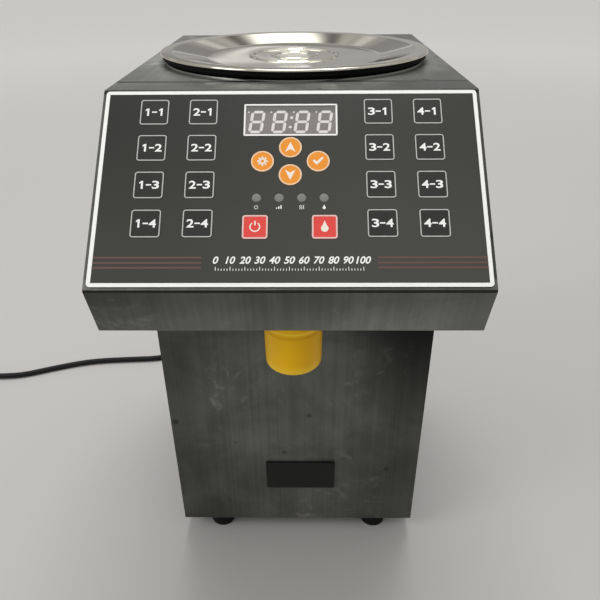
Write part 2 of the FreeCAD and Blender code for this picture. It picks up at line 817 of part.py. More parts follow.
def heater_band():
    """Split heating band round the foot of the tank, drawn together at lugs behind it."""
    inner = tank_radius + tank_wall + slip_gap
    outer = inner + heater_wall
    low = tank_floor_z + heater_rise
    high = low + heater_height
    middle = (low + high) / 2
    band = turned([(inner, low), (outer, low), (outer, high), (inner, high)], 0, tank_y)
    half = heater_split / 2
    reach = half + heater_wall
    gap = box((-half, half), (tank_y, tank_y + outer + past), (low - past, high + past))
    lugs = []
    for side in (-1, 1):
        x_span = sorted((side * half, side * reach))
        lugs.append(box(x_span, (tank_y + inner, tank_y + outer + heater_lug_reach),
                        (middle - heater_height / 5, middle + heater_height / 5)))
    bolt_y = tank_y + outer + heater_lug_reach / 2
    bolt_reach = reach + heater_wall
    bolt = rod(screw_radius, (-bolt_reach, bolt_y, middle), (bolt_reach, bolt_y, middle))
    thermostat = rod(thermostat_radius, (outer - heater_wall / 4, tank_y, middle),
                     (outer + thermostat_height, tank_y, middle))
    return solid_of(fused([band.cut(gap)] + lugs + [bolt, thermostat]))


sensor_floor = tank_floor_z + tank_wall
float_low_z = sensor_floor + sensor_flange_height + float_gap


def level_sensor():
    """Float switch stem, screwed through the tank's floor beside the wall."""
    thread = sensor_thread_radius
    grip = sensor_flange_radius
    seat = sensor_floor + sensor_flange_height
    nut = tank_floor_z - sensor_nut_height
    foot = tank_floor_z - sensor_thread_length
    top = sensor_floor + sensor_height
    stop = top - sensor_stop_height
    profile = [(0, foot), (thread, foot), (thread, nut), (grip, nut), (grip, tank_floor_z),
               (thread, tank_floor_z), (thread, sensor_floor), (grip, sensor_floor), (grip, seat),
               (sensor_stem_radius, seat), (sensor_stem_radius, stop), (sensor_stop_radius, stop),
               (sensor_stop_radius, top), (0, top)]
    return turned(profile, -sensor_offset, tank_y)


def level_float():
    inner = sensor_stem_radius + float_gap
    low, high = float_low_z, float_low_z + float_height
    corners = [(inner, low), (float_radius, low), (float_radius, high), (inner, high)]
    return turned_round(corners, [float_round, float_round, 0], -sensor_offset, tank_y)


# ------------------------------------------------------------------- the pump
pitch_radius = gear_module * gear_teeth / 2
tip_radius = pitch_radius + gear_addendum
chamber_radius = tip_radius + pump_tip_gap
chamber_depth = gear_width + 2 * pump_end_gap
chamber_front_y = tank_y - chamber_depth / 2
pump_cover_y = chamber_front_y - pump_cover_wall
pump_back_y = chamber_front_y + chamber_depth + pump_wall
pump_half_height = chamber_radius + pump_wall
pump_screw_circle = chamber_radius + pump_wall / 2


def pump_screw_places():
    places = []
    for side in (-1, 1):
        for angle in pump_screw_angles:
            turn = math.radians(angle)
            x = side * (pitch_radius + pump_screw_circle * math.cos(turn))
            places.append((x, pump_z + pump_screw_circle * math.sin(turn)))
    return places


def involute(angle):
    return math.tan(angle) - angle


def gear(centre_x, phase):
    """Spur gear about an axis along Y; phase is the angle of one tooth's middle."""
    pressure = math.radians(gear_pressure_angle)
    base_radius = pitch_radius * math.cos(pressure)
    root_radius = pitch_radius - gear_root_depth
    half_pitch_tooth = (math.pi / gear_teeth - gear_backlash / pitch_radius) / 2
    flank_steps = 4

    def point(radius, angle):
        x = centre_x + radius * math.cos(angle)
        return Vector(x, chamber_front_y + pump_end_gap, pump_z + radius * math.sin(angle))

    def half_tooth(radius):
        local = math.acos(min(1.0, base_radius / radius))
        return half_pitch_tooth + involute(pressure) - involute(local)

    flank = [base_radius + (tip_radius - base_radius) * step / flank_steps
             for step in range(flank_steps + 1)]
    root_half = half_tooth(base_radius)
    edges = []
    for tooth in range(gear_teeth):
        middle = phase + tooth * 2 * math.pi / gear_teeth
        following = middle + 2 * math.pi / gear_teeth
        rising = [point(radius, middle - half_tooth(radius)) for radius in flank]
        falling = [point(radius, middle + half_tooth(radius)) for radius in reversed(flank)]
        root_in = point(root_radius, middle - root_half)
        root_out = point(root_radius, middle + root_half)
        next_root = point(root_radius, following - root_half)
        root_middle = point(root_radius, (middle + following) / 2)
        rise_curve = Part.BSplineCurve()
        rise_curve.interpolate(rising)
        fall_curve = Part.BSplineCurve()
        fall_curve.interpolate(falling)
        edges.append(Part.LineSegment(root_in, rising[0]).toShape())
        edges.append(rise_curve.toShape())
        edges.append(Part.Arc(rising[-1], point(tip_radius, middle), falling[0]).toShape())
        edges.append(fall_curve.toShape())
        edges.append(Part.LineSegment(falling[-1], root_out).toShape())
        edges.append(Part.Arc(root_out, root_middle, next_root).toShape())
    return Part.Face(Part.Wire(edges)).extrude(Vector(0, gear_width, 0))


shaft_back_y = pump_back_y + bracket_wall + pump_shaft_grip


def drive_gear():
    """Driving gear pressed on its shaft, which runs from the cover into the gearbox."""
    wheel = gear(pitch_radius, math.pi)
    shaft = rod(pump_shaft_radius, (pitch_radius, chamber_front_y - pump_shaft_front, pump_z),
                (pitch_radius, shaft_back_y, pump_z))
    return solid_of(fused([wheel, shaft]))


def idler_gear():
    wheel = gear(-pitch_radius, math.pi / gear_teeth)
    bore = rod(pump_shaft_radius + running_gap, (-pitch_radius, chamber_front_y - past, pump_z),
               (-pitch_radius, chamber_front_y + chamber_depth + past, pump_z))
    return solid_of(wheel.cut(bore))


def stadium(radius, y_span):
    """Both gear circles and the band between them, solid along Y."""
    circles = [rod(radius, (side * pitch_radius, y_span[0], pump_z),
                   (side * pitch_radius, y_span[1], pump_z)) for side in (-1, 1)]
    middle = box((-pitch_radius, pitch_radius), y_span, (pump_z - radius, pump_z + radius))
    return fused(circles + [middle])


def pump_body():
    """Body with the figure-eight chamber, the idler's pin and a spigot above and below."""
    body = stadium(pump_half_height, (chamber_front_y, pump_back_y))
    top = pump_z + pump_half_height
    foot = pump_z - pump_half_height
    ports = [rod(spout_radius, (0, tank_y, top), (0, tank_y, top + spigot_length)),
             rod(delivery_spigot_radius, (0, tank_y, foot - spigot_length), (0, tank_y, foot))]
    body = fused([body] + ports)
    cuts = [rod(chamber_radius, (side * pitch_radius, chamber_front_y - past, pump_z),
                (side * pitch_radius, chamber_front_y + chamber_depth, pump_z)) for side in (-1, 1)]
    cuts.append(rod(spout_radius - spout_wall, (0, tank_y, pump_z),
                    (0, tank_y, top + spigot_length + past)))
    cuts.append(rod(delivery_bore_radius, (0, tank_y, foot - spigot_length - past), (0, tank_y, pump_z)))
    cuts.append(rod(pump_shaft_radius + running_gap, (pitch_radius, chamber_front_y, pump_z),
                    (pitch_radius, pump_back_y + past, pump_z)))
    bottom_y = pump_cover_y + screw_length + screw_end_gap
    for x, z in pump_screw_places():
        cuts.append(rod(screw_radius + screw_hole_gap, (x, chamber_front_y - past, z), (x, bottom_y, z)))
    body = body.cut(Part.makeCompound(cuts))
    pin = rod(pump_shaft_radius, (-pitch_radius, chamber_front_y, pump_z),
              (-pitch_radius, chamber_front_y + chamber_depth + pump_wall / 2, pump_z))
    return solid_of(body.fuse(pin).removeSplitter())


def pump_cover():
    """Front plate, with a blind bearing for the drive shaft."""
    plate = stadium(pump_half_height, (pump_cover_y, chamber_front_y))
    bearing_end_y = chamber_front_y - pump_shaft_front - pump_end_gap
    behind = chamber_front_y + past
    cuts = [rod(pump_shaft_radius + running_gap, (pitch_radius, bearing_end_y, pump_z),
                (pitch_radius, behind, pump_z))]
    for x, z in pump_screw_places():
        cuts.append(rod(screw_radius + screw_hole_gap, (x, pump_cover_y - past, z), (x, behind, z)))
    return solid_of(plate.cut(Part.makeCompound(cuts)))


def pump_bracket():
    """Bent angle on the base plate, between the pump and its motor."""
    foot_z = base_z + sheet
    half_span = pitch_radius + pump_half_height + bracket_margin
    path = [(pump_back_y, pump_z + pump_half_height), (pump_back_y, foot_z),
            (pump_back_y + bracket_foot, foot_z)]
    bracket = bent_sheet(path, half_span, bracket_wall, bracket_wall)
    shaft_hole = rod(pump_shaft_radius + bracket_hole_gap, (pitch_radius, pump_back_y - past, pump_z),
                     (pitch_radius, pump_back_y + bracket_wall + past, pump_z))
    return solid_of(bracket.cut(shaft_hole))


def pump_motor():
    """Motor with its gearbox, bolted behind the bracket on the drive gear's axis."""
    front = pump_back_y + bracket_wall
    gearbox_end = front + gearbox_length
    motor_end = gearbox_end + motor_length
    x = pitch_radius
    gearbox = rod(gearbox_radius, (x, front, pump_z), (x, gearbox_end, pump_z))
    can = rod(motor_radius, (x, gearbox_end, pump_z), (x, motor_end, pump_z))
    hub = rod(motor_hub_radius, (x, motor_end, pump_z), (x, motor_end + motor_hub_length, pump_z))
    width, length, height = motor_terminal
    low_z = pump_z + motor_terminal_rise - height / 2
    terminals = []
    for side in (-1, 1):
        middle = x + side * motor_terminal_x
        terminals.append(box((middle - width / 2, middle + width / 2),
                             (motor_end - past, motor_end + length), (low_z, low_z + height)))
    body = fused([gearbox, can, hub] + terminals)
    socket = rod(pump_shaft_radius + running_gap, (x, front - past, pump_z),
                 (x, shaft_back_y + screw_end_gap, pump_z))
    return solid_of(body.cut(socket))


# ---------------------------------------------------------------------- hoses
def suction_hose():
    low = pump_z + pump_half_height + hose_end_gap
    high = tank_floor_z - hose_end_gap
    inner = spout_radius + hose_gap
    outer = inner + hose_wall
    return turned([(inner, low), (outer, low), (outer, high), (inner, high)], 0, tank_y)


nozzle_spigot_foot_z = head_z + sheet + nozzle_flange_wall
nozzle_spigot_top_z = nozzle_spigot_foot_z + spigot_length


def delivery_hose():
    """From the pump's lower spigot, up the front corner beside the tank and over to the nozzle."""
    rise_x = half_width - delivery_rise_inset
    rise_y = front_y + delivery_rise_setback
    low_z = base_z + delivery_low_rise
    high_z = head_z + delivery_high_rise
    corners = [Vector(0, tank_y, pump_z - pump_half_height - hose_end_gap), Vector(0, tank_y, low_z),
               Vector(rise_x, rise_y, low_z), Vector(rise_x, rise_y, high_z),
               Vector(0, nozzle_y, high_z), Vector(0, nozzle_y, nozzle_spigot_foot_z + hose_end_gap)]
    inner = delivery_spigot_radius + hose_gap
    return solid_of(pipe(corners, delivery_bends, inner + hose_wall, inner))


# --------------------------------------------------------------------- nozzle
def outlet_nozzle():
    """Nozzle tube hung from its flange on the underside plate, with a spigot for the hose."""
    seat = head_z + sheet
    flange_top = nozzle_spigot_foot_z
    tube_foot = head_z - nozzle_tube_length
    tip_foot = head_z - nozzle_cap_height + nozzle_tip_rise
    throat = nozzle_bore_radius
    throat_z = tube_foot + nozzle_throat_rise
    corners = [(delivery_bore_radius, nozzle_spigot_top_z),
               (delivery_bore_radius, throat_z + nozzle_throat_length),
               (throat, throat_z), (throat, tip_foot), (nozzle_tip_radius, tip_foot),
               (nozzle_tip_radius, tube_foot), (nozzle_tube_radius, tube_foot),
               (nozzle_tube_radius, seat), (nozzle_flange_radius, seat),
               (nozzle_flange_radius, flange_top), (delivery_spigot_radius, flange_top),
               (delivery_spigot_radius, nozzle_spigot_top_z)]
    return turned(corners, 0, nozzle_y)


def nozzle_cap():
    """Moulded cap that pushes over the nozzle tube, with a lip, a waist and a round foot."""
    top = head_z - slip_gap
    foot = head_z - nozzle_cap_height
    lip_foot = head_z - nozzle_cap_lip_height
    neck_foot = lip_foot - nozzle_cap_neck_height
    bore = nozzle_tube_radius + slip_gap
    inner_floor = foot + nozzle_cap_wall
    waist_z = neck_foot + nozzle_cap_lip_radius - nozzle_cap_neck_radius
    corners = [(bore, top), (bore, inner_floor), (nozzle_mouth_radius, inner_floor),
               (nozzle_mouth_radius, foot), (nozzle_cap_radius - nozzle_cap_taper, foot),
               (nozzle_cap_radius, neck_foot), (nozzle_cap_neck_radius, waist_z),
               (nozzle_cap_neck_radius, lip_foot), (nozzle_cap_lip_radius, lip_foot),
               (nozzle_cap_lip_radius, top)]
    edge = nozzle_cap_edge_round
    radii = [nozzle_cap_floor_round, 0, edge, nozzle_cap_round, edge, edge, 0, edge, edge]
    return turned_round(corners, radii, 0, nozzle_y)


# -------------------------------------------------------------- control panel
def panel_overlay():
    """Graphic overlay bonded on the slope, with a window for each key, lamp and the display."""
    film = slab(rounded_rectangle(shell_width - 2 * overlay_side_margin, overlay_height,
                                  overlay_corner, (0, overlay_middle)), 0, overlay_wall)
    over = overlay_wall + past
    cuts = [slab(key.outline(key_window_gap), -past, over) for key in keys]
    cuts.append(slab(display_outline(key_window_gap), -past, over))
    for x in indicator_xs:
        radius = indicator_radius + indicator_gap
        cuts.append(rod(radius, (x, -indicator_row, -past), (x, -indicator_row, over)))
    return on_slope(solid_of(film.cut(Part.makeCompound(cuts))))


def key_solid(key):
    cap = slab(key.outline(0), overlay_wall - key_wall, overlay_wall)
    foot = -(sheet + plunger_reach)
    plunger = rod(plunger_radius, (key.x, key.y, foot), (key.x, key.y, overlay_wall - key_wall))
    return on_slope(solid_of(cap.fuse(plunger).removeSplitter()))


def display_module():
    """Four-digit module standing on the board, its face just below the overlay."""
    top = overlay_wall - display_recess
    return on_slope(slab(display_outline(0), board_face, top))


def indicator_lamps():
    lamps = []
    shoulder = overlay_wall - 2 * indicator_dome
    curve = (indicator_radius ** 2 + indicator_dome ** 2) / (2 * indicator_dome)
    for x in indicator_xs:
        y = -indicator_row
        stem = rod(indicator_radius, (x, y, board_face), (x, y, shoulder))
        bulge = Part.makeSphere(curve, Vector(x, y, overlay_wall - curve))
        lens = rod(indicator_radius, (x, y, shoulder), (x, y, overlay_wall))
        lamps.append(on_slope(stem.fuse(lens.common(bulge)).removeSplitter()))
    return Part.makeCompound(lamps)


def control_board():
    """Board on the hood's studs, with its larger components on the rear."""
    back = board_face - board_wall
    board = slab(rounded_rectangle(board_width, board_height, overlay_corner, (0, -board_row)),
                 back, board_face)
    holes = [rod(board_stud_radius + slip_gap, (x, y, back - past), (x, y, board_face + past))
             for x, y in stud_places]
    board = board.cut(Part.makeCompound(holes))
    parts = ((processor_size, processor_place), (driver_size, driver_place),
             (header_size, header_place), (relay_size, relay_place))
    chips = []
    for (width, height, tall), (x, row) in parts:
        chips.append(box((x - width / 2, x + width / 2), (-row - height / 2, -row + height / 2),
                         (back - tall, back)))
    return on_slope(solid_of(fused([board] + chips)))


def tact_switches():
    """One switch on the board behind each key; its dome fills the gap to the plunger."""
    half = switch_body / 2
    group = []
    for key in keys:
        group.append(on_slope(box((key.x - half, key.x + half), (key.y - half, key.y + half),
                                  (board_face, board_face + switch_body_height))))
    return Part.makeCompound(group)


# --------------------------------------------------------------- power supply
supply_left = flange + supply_side_gap - half_width


def power_supply():
    """Enclosed supply on edge on the base plate, with a barrier strip up its front end."""
    right = supply_left + supply_width
    low_z = base_z + sheet
    high_z = low_z + supply_height
    high_y = rear_y - flange - panel_gap - supply_rear_gap
    low_y = high_y - supply_depth
    step_x = right - supply_width / 2
    case = box((supply_left, right), (low_y, high_y), (low_z, high_z))
    step = box((step_x, right + past), (low_y - past, low_y + terminal_strip), (low_z - past, high_z + past))
    pitch = (supply_height - terminal_wall) / terminal_count
    barriers = []
    for index in range(terminal_count + 1):
        z = low_z + index * pitch
        barriers.append(box((step_x - terminal_wall, right - supply_width / 5),
                            (low_y, low_y + terminal_strip), (z, z + terminal_wall)))
    return solid_of(fused([case.cut(step)] + barriers))


# ---------------------------------------------------------------- rear switch
rocker_y = rear_y - rocker_pin_depth


def switch_housing():
    """Snap-in housing of the rear switch, open for its rocker."""
    width, length, wall = switch_bezel
    bezel = box((switch_x - width / 2, switch_x + width / 2), (rear_y, rear_y + wall),
                (switch_z - length / 2, switch_z + length / 2))
    body_x, body_z, body_y = switch_body_size
    end_y = rear_y - body_y
    body = box((switch_x - body_x / 2, switch_x + body_x / 2), (end_y, rear_y),
               (switch_z - body_z / 2, switch_z + body_z / 2))
    cavity_x = rocker_half_width + rocker_gap
    cavity_z = math.hypot(rocker_half_length, rocker_rise) + rocker_gap
    cavity = box((switch_x - cavity_x, switch_x + cavity_x),
                 (rear_y - switch_cavity_depth, rear_y + wall + past),
                 (switch_z - cavity_z, switch_z + cavity_z))
    bearing = rod(rocker_pin_radius + running_gap, (switch_x - body_x / 2 - past, rocker_y, switch_z),
                  (switch_x + body_x / 2 + past, rocker_y, switch_z))
    blade_width, blade_reach, blade_wall = switch_blade
    blades = []
    for step in (-1, 0, 1):
        low_z = switch_z + step * switch_blade_pitch - blade_wall / 2
        blades.append(box((switch_x - blade_width / 2, switch_x + blade_width / 2),
                          (end_y - blade_reach, end_y), (low_z, low_z + blade_wall)))
    return solid_of(fused([bezel, body]).cut(cavity).cut(bearing).fuse(blades).removeSplitter())


def power_rocker():
    """Rocker on its pin, resting on its lower side."""
    profile = [(-rocker_foot, -rocker_half_length), (rocker_rise, -rocker_half_length),
               (rocker_waist, 0.0), (rocker_rise, rocker_half_length), (-rocker_foot, rocker_half_length)]
    points = [Vector(-rocker_half_width, y, z) for y, z in profile]
    rocker = Part.Face(Part.makePolygon(points + points[:1])).extrude(Vector(2 * rocker_half_width, 0, 0))
    pin_reach = switch_body_size[0] / 2
    pin = rod(rocker_pin_radius, (-pin_reach, 0, 0), (pin_reach, 0, 0))
    rocker = fused([rocker, pin])
    rocker.rotate(Vector(0, 0, 0), Vector(1, 0, 0), -rocker_tilt)
    rocker.translate(Vector(switch_x, rocker_y, switch_z))
    return solid_of(rocker)


# ----------------------------------------------------------------------- cord
coil_tangent_y = coil_centre[1] + coil_turn_radii[0]
cord_start = Vector(gland_x, rear_y - cord_inside, gland_z)
cord_end = Vector(coil_centre[0] + coil_lead_in, coil_tangent_y, cord_rest_z)
cord_route = [cord_start] + [Vector(*turn) for turn in cord_turns] + [cord_end]


def route_radii(points):
    """Each arc as large as its two runs allow."""
    radii = []
    for before, corner, after in zip(points, points[1:], points[2:]):
        turn = (corner - before).getAngle(after - corner)
        shorter = min((corner - before).Length, (after - corner).Length)
        radii.append(cord_turn_share * shorter / math.tan(turn / 2))
    return radii


def power_cord():
    """Mains cord, from inside the gland down to the surface and along it to the coil."""
    return pipe(cord_route, route_radii(cord_route), cord_radius)


def cord_coil():
    """Outer shape of the wound cord, with the straight ends that lead in and out."""
    outer = coil_turn_radii[0] + cord_radius
    inner = coil_turn_radii[-1] - cord_radius
    low = cord_rest_z - cord_radius
    high = low + 2 * cord_radius * coil_layers
    x, y = coil_centre
    corners = [((inner + outer) / 2, low), (outer, low), (outer, high), (inner, high), (inner, low)]
    ring = turned_round(corners, [coil_edge_round] * 4, x, y)
    upper_z = cord_rest_z + 2 * cord_radius * (coil_layers - 1)
    lead_in = rod(cord_radius, (x, coil_tangent_y, cord_rest_z),
                  (x + coil_lead_in, coil_tangent_y, cord_rest_z))
    lead_out = rod(cord_radius, (x, coil_tangent_y, upper_z),
                   (x - coil_lead_out, coil_tangent_y, upper_z))
    return solid_of(fused([ring, lead_in, lead_out]))


def plug():
    """Moulded three-pin plug lying on the surface behind its sleeve."""
    y = coil_tangent_y
    z = cord_rest_z + 2 * cord_radius * (coil_layers - 1)
    sleeve_x = coil_centre[0] - coil_lead_out
    back_x = sleeve_x - plug_sleeve_length
    face_x = back_x - plug_length
    sleeve = Part.makeCone(*plug_sleeve_radii, plug_sleeve_length, Vector(sleeve_x, y, z), Vector(-1, 0, 0))
    shell = box((face_x, back_x), (y - plug_width / 2, y + plug_width / 2),
                (z - plug_height / 2, z + plug_height / 2))
    shell = shell.makeFillet(plug_round, shell.Edges)
    pieces = [shell, sleeve]
    wall, height = blade_size
    blade_low_z = z + blade_rise - height / 2
    for side in (-1, 1):
        low_y = y + side * blade_spacing / 2 - wall / 2
        pieces.append(box((face_x - blade_length, face_x + past), (low_y, low_y + wall),
                          (blade_low_z, blade_low_z + height)))
    pin_z = z - earth_pin_drop
    pieces.append(rod(earth_pin_radius, (face_x + past, y, pin_z), (face_x - earth_pin_length, y, pin_z)))
    return solid_of(fused(pieces))


def cable_gland():
    """Gland nut, threaded neck and ribbed strain relief, with the cord through it."""
    outer, tip = relief_radii
    tip_z = gland_nut_height + relief_length
    nut = gland_inner_nut_radius
    foot = -sheet - gland_nut_inside
    profile = [(cord_radius, foot), (nut, foot), (nut, -sheet), (gland_thread_radius, -sheet),
               (gland_thread_radius, 0), (gland_nut_radius, 0), (gland_nut_radius, gland_nut_height),
               (outer, gland_nut_height), (tip, tip_z), (cord_radius, tip_z)]
    body = turned(profile, 0, 0)
    grooves = []
    for index in range(relief_grooves):
        share = (index + 1) / (relief_grooves + 1)
        radius = outer + (tip - outer) * share + relief_groove_radius / 2
        centre = Vector(0, 0, gland_nut_height + relief_length * share)
        grooves.append(Part.makeTorus(radius, relief_groove_radius, centre))
    body = body.cut(Part.makeCompound(grooves))
    body.rotate(Vector(0, 0, 0), Vector(1, 0, 0), -90)
    body.translate(Vector(gland_x, rear_y, gland_z))
    return solid_of(body)


# ------------------------------------------------------------------- assembly
nodes["side_panel_left"] = side_panel(-1)
nodes["side_panel_right"] = side_panel(1)
nodes["front_hood"] = front_hood()
nodes["top_cover"] = top_cover()
nodes["front_panel"] = front_panel()
nodes["nozzle_plate"] = nozzle_plate()
nodes["rear_panel"] = rear_panel()
nodes["base_plate"] = base_plate()
nodes["rubber_feet"] = rubber_feet()
nodes["screws"] = screws()
nodes["tank"] = tank()
nodes["lid"] = lid()
nodes["lid_seal"] = lid_seal()
nodes["heater_band"] = heater_band()
nodes["level_sensor"] = level_sensor()
nodes["level_float"] = level_float()
nodes["drive_gear"] = drive_gear()
nodes["idler_gear"] = idler_gear()
nodes["pump_body"] = pump_body()
nodes["pump_cover"] = pump_cover()
nodes["pump_bracket"] = pump_bracket()
nodes["pump_motor"] = pump_motor()
nodes["suction_hose"] = suction_hose()
nodes["delivery_hose"] = delivery_hose()
nodes["outlet_nozzle"] = outlet_nozzle()
nodes["nozzle_cap"] = nozzle_cap()
nodes["panel_overlay"] = panel_overlay()
nodes["display_module"] = display_module()
nodes["indicator_lamps"] = indicator_lamps()
nodes["control_board"] = control_board()
nodes["tact_switches"] = tact_switches()
nodes["power_supply"] = power_supply()
nodes["switch_housing"] = switch_housing()
nodes["power_rocker"] = power_rocker()
nodes["cable_gland"] = cable_gland()
nodes["power_cord"] = power_cord()
nodes["cord_coil"] = cord_coil()
nodes["plug"] = plug()
for key in keys:
    nodes[key.name] = key_solid(key)

os.makedirs("parts", exist_ok=True)
for name, shape in nodes.items():
    shape.exportStep(f"parts/{name}.step")
    print(name, len(shape.Solids), "solids, valid", shape.isValid(), "volume", round(shape.Volume, 1))
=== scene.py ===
import math

import bmesh
import bpy
from mathutils import Matrix, Vector


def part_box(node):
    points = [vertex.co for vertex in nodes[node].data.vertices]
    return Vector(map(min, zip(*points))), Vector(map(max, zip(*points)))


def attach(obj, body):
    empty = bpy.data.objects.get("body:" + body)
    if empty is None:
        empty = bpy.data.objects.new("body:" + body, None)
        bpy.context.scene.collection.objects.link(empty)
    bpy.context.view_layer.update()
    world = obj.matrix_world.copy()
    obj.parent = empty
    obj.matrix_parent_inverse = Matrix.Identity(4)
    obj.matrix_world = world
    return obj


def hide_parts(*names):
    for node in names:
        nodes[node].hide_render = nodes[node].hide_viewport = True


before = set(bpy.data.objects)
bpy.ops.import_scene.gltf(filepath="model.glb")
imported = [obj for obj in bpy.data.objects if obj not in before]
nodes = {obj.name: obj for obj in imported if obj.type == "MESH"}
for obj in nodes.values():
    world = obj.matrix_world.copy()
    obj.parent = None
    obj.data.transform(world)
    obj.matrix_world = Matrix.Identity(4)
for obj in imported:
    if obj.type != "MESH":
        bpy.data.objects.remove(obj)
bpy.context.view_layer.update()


# ----------------------------------------------------------------------- camera
# The dispenser is seen from a standing person's side of the counter: in front,
# a little above the lid and looking down on the key panel.
eye = Vector((0.00934, -0.45419, 0.49698))
heading = math.radians(0.778)
dip = math.radians(30.385)
tilt = math.radians(-0.435)

lens = bpy.data.cameras.new("counter_view")
lens.sensor_width = 36.0
lens.lens = 35.864
lens.clip_start = 0.02
lens.clip_end = 60.0
camera = bpy.data.objects.new("counter_view", lens)
camera.matrix_world = (
    Matrix.Translation(eye)
    @ Matrix.Rotation(heading, 4, "Z")
    @ Matrix.Rotation(math.pi / 2 - dip, 4, "X")
    @ Matrix.Rotation(tilt, 4, "Z")
)
bpy.context.scene.collection.objects.link(camera)
bpy.context.scene.camera = camera
bpy.context.scene.view_settings.view_transform = "Standard"


# -------------------------------------------------------------- floor and light
# A plain pale floor that runs past every view, a soft box high over the rear of
# the dispenser and a weaker one on the left, in a plain pale room. Its far wall,
# with a window and lamps, shows only as a mirror image in polished metal.
class Value:
    """One number over a surface; arithmetic on it adds Math nodes to its finish."""

    def __init__(self, finish, socket):
        self.finish = finish
        self.socket = socket

    def maths(self, operation, first, second):
        return self.finish.node("ShaderNodeMath", {"operation": operation}, {0: first, 1: second})

    def __add__(self, other):
        return self.maths("ADD", self, other)

    def __sub__(self, other):
        return self.maths("SUBTRACT", self, other)

    def __rsub__(self, other):
        return self.maths("SUBTRACT", other, self)

    def __mul__(self, other):
        return self.maths("MULTIPLY", self, other)

    __radd__ = __add__
    __rmul__ = __mul__


class Finish:
    """A node material, or the world's shader, built one node at a time."""

    def __init__(self, name, world=None):
        self.material = world or bpy.data.materials.new(name)
        self.material.use_nodes = True
        self.tree = self.material.node_tree
        self.tree.nodes.clear()

    def node(self, kind, settings=None, sockets=None, output=0):
        """Adds a node: its settings first, then the values or links of its sockets."""
        made = self.tree.nodes.new(kind)
        for key, setting in (settings or {}).items():
            setattr(made, key, setting)
        for key, value in (sockets or {}).items():
            if isinstance(value, Value):
                self.tree.links.new(value.socket, made.inputs[key])
            else:
                made.inputs[key].default_value = value
        return Value(self, made.outputs[output]) if made.outputs else made

    def place(self, scale=(1.0, 1.0, 1.0), shift=(0.0, 0.0, 0.0)):
        """Object coordinates in metres, moved and then scaled."""
        here = self.node("ShaderNodeTexCoord", output="Object")
        moved = self.node("ShaderNodeVectorMath", {"operation": "SUBTRACT"}, {0: here, 1: shift})
        return self.node("ShaderNodeVectorMath", {"operation": "MULTIPLY"}, {0: moved, 1: scale})

    def noise(self, scale, detail=2.0, stretch=(1.0, 1.0, 1.0), warp=0.0, roughness=0.5):
        """Cloudy value about 0.5; scale is in features per metre."""
        spread = tuple(scale * axis for axis in stretch)
        return self.node("ShaderNodeTexNoise", {}, {
            "Vector": self.place(spread), "Scale": 1.0, "Detail": detail,
            "Roughness": roughness, "Distortion": warp})

    def ramp(self, value, low, high):
        """Takes the value from low..high to 0..1, held at both ends."""
        return self.node("ShaderNodeMapRange", {"interpolation_type": "SMOOTHSTEP"},
                         {"Value": value, "From Min": low, "From Max": high})

    def band(self, value, low, high, blur):
        """1 where the value is between low and high, 0 outside, with soft edges."""
        above = self.ramp(value, high - blur, high + blur)
        return self.ramp(value, low - blur, low + blur) * (1 - above)

    def axis(self, name):
        """One of the object coordinates."""
        return self.node("ShaderNodeSeparateXYZ", {}, {0: self.place()}, output=name)

    def mix(self, share, first, second):
        """A colour between two colours."""
        ends = [end if isinstance(end, Value) else (*end, 1.0) for end in (first, second)]
        sockets = {0: share, 6: ends[0], 7: ends[1]}
        return self.node("ShaderNodeMix", {"data_type": "RGBA"}, sockets, output=2)

    def bump(self, height, distance, strength=1.0):
        """A relief, as deep as its distance in metres where the height is 1."""
        return self.node("ShaderNodeBump", {}, {"Height": height, "Distance": distance, "Strength": strength})

    def surface(self, **sockets):
        """Ends the material in a Principled shader; underscores stand for spaces."""
        named = {}
        for key, value in sockets.items():
            is_colour = isinstance(value, tuple) and len(value) == 3
            named[key.replace("_", " ")] = (*value, 1.0) if is_colour else value
        shader = self.node("ShaderNodeBsdfPrincipled", {}, named)
        self.node("ShaderNodeOutputMaterial", {}, {"Surface": shader})
        return self.material


def piece_from(name, bm, body, finish, smooth_below=35.0):
    """Turns a bmesh into a named piece with a finish, riding on a body."""
    mesh = bpy.data.meshes.new(name)
    bm.to_mesh(mesh)
    bm.free()
    mesh.shade_smooth()
    mesh.set_sharp_from_angle(angle=math.radians(smooth_below))
    mesh.materials.append(finish)
    piece = bpy.data.objects.new(name, mesh)
    bpy.context.scene.collection.objects.link(piece)
    if body:
        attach(piece, body)
    return piece


def seen_directly(finish):
    """1 on the rays of the camera and of mirror images, 0 on the rays that carry light."""
    rays = [finish.node("ShaderNodeLightPath", output=ray)
            for ray in ("Is Camera Ray", "Is Glossy Ray", "Is Transmission Ray")]
    return finish.ramp(rays[0] + rays[1] + rays[2], 0.0, 1.0)


def distance_from(finish, spot, axes=(1.0, 1.0, 1.0)):
    """Distance to a spot, counted along some of the axes."""
    return finish.node("ShaderNodeVectorMath", {"operation": "LENGTH"}, {0: finish.place(axes, spot)},
                       output="Value")


floor_radius = 14.0
floor_colour = (0.475, 0.466, 0.456)
floor_far_colour = (0.60, 0.588, 0.575)
floor_haze = (0.20, 0.196, 0.191)     # lifts the far floor to a pale background
floor_fade = (0.6, 3.6)               # where the near colour turns into the far one

floor_finish = Finish("pale_floor")
floor_cloud = floor_finish.noise(1.5, detail=3.0)
floor_away = floor_finish.ramp(distance_from(floor_finish, (0.0, 0.0, 0.0)), *floor_fade)
floor_paint = floor_finish.mix(floor_cloud, floor_colour, tuple(c * 1.04 for c in floor_colour))
floor_mesh = bmesh.new()
bmesh.ops.create_circle(floor_mesh, cap_ends=True, segments=96, radius=floor_radius)
floor = piece_from("floor", floor_mesh, None, floor_finish.surface(
    Base_Color=floor_finish.mix(floor_away, floor_paint, floor_far_colour), Roughness=0.75,
    Emission_Color=floor_finish.mix(floor_away * seen_directly(floor_finish), (0.0, 0.0, 0.0), floor_haze),
    Emission_Strength=1.0))


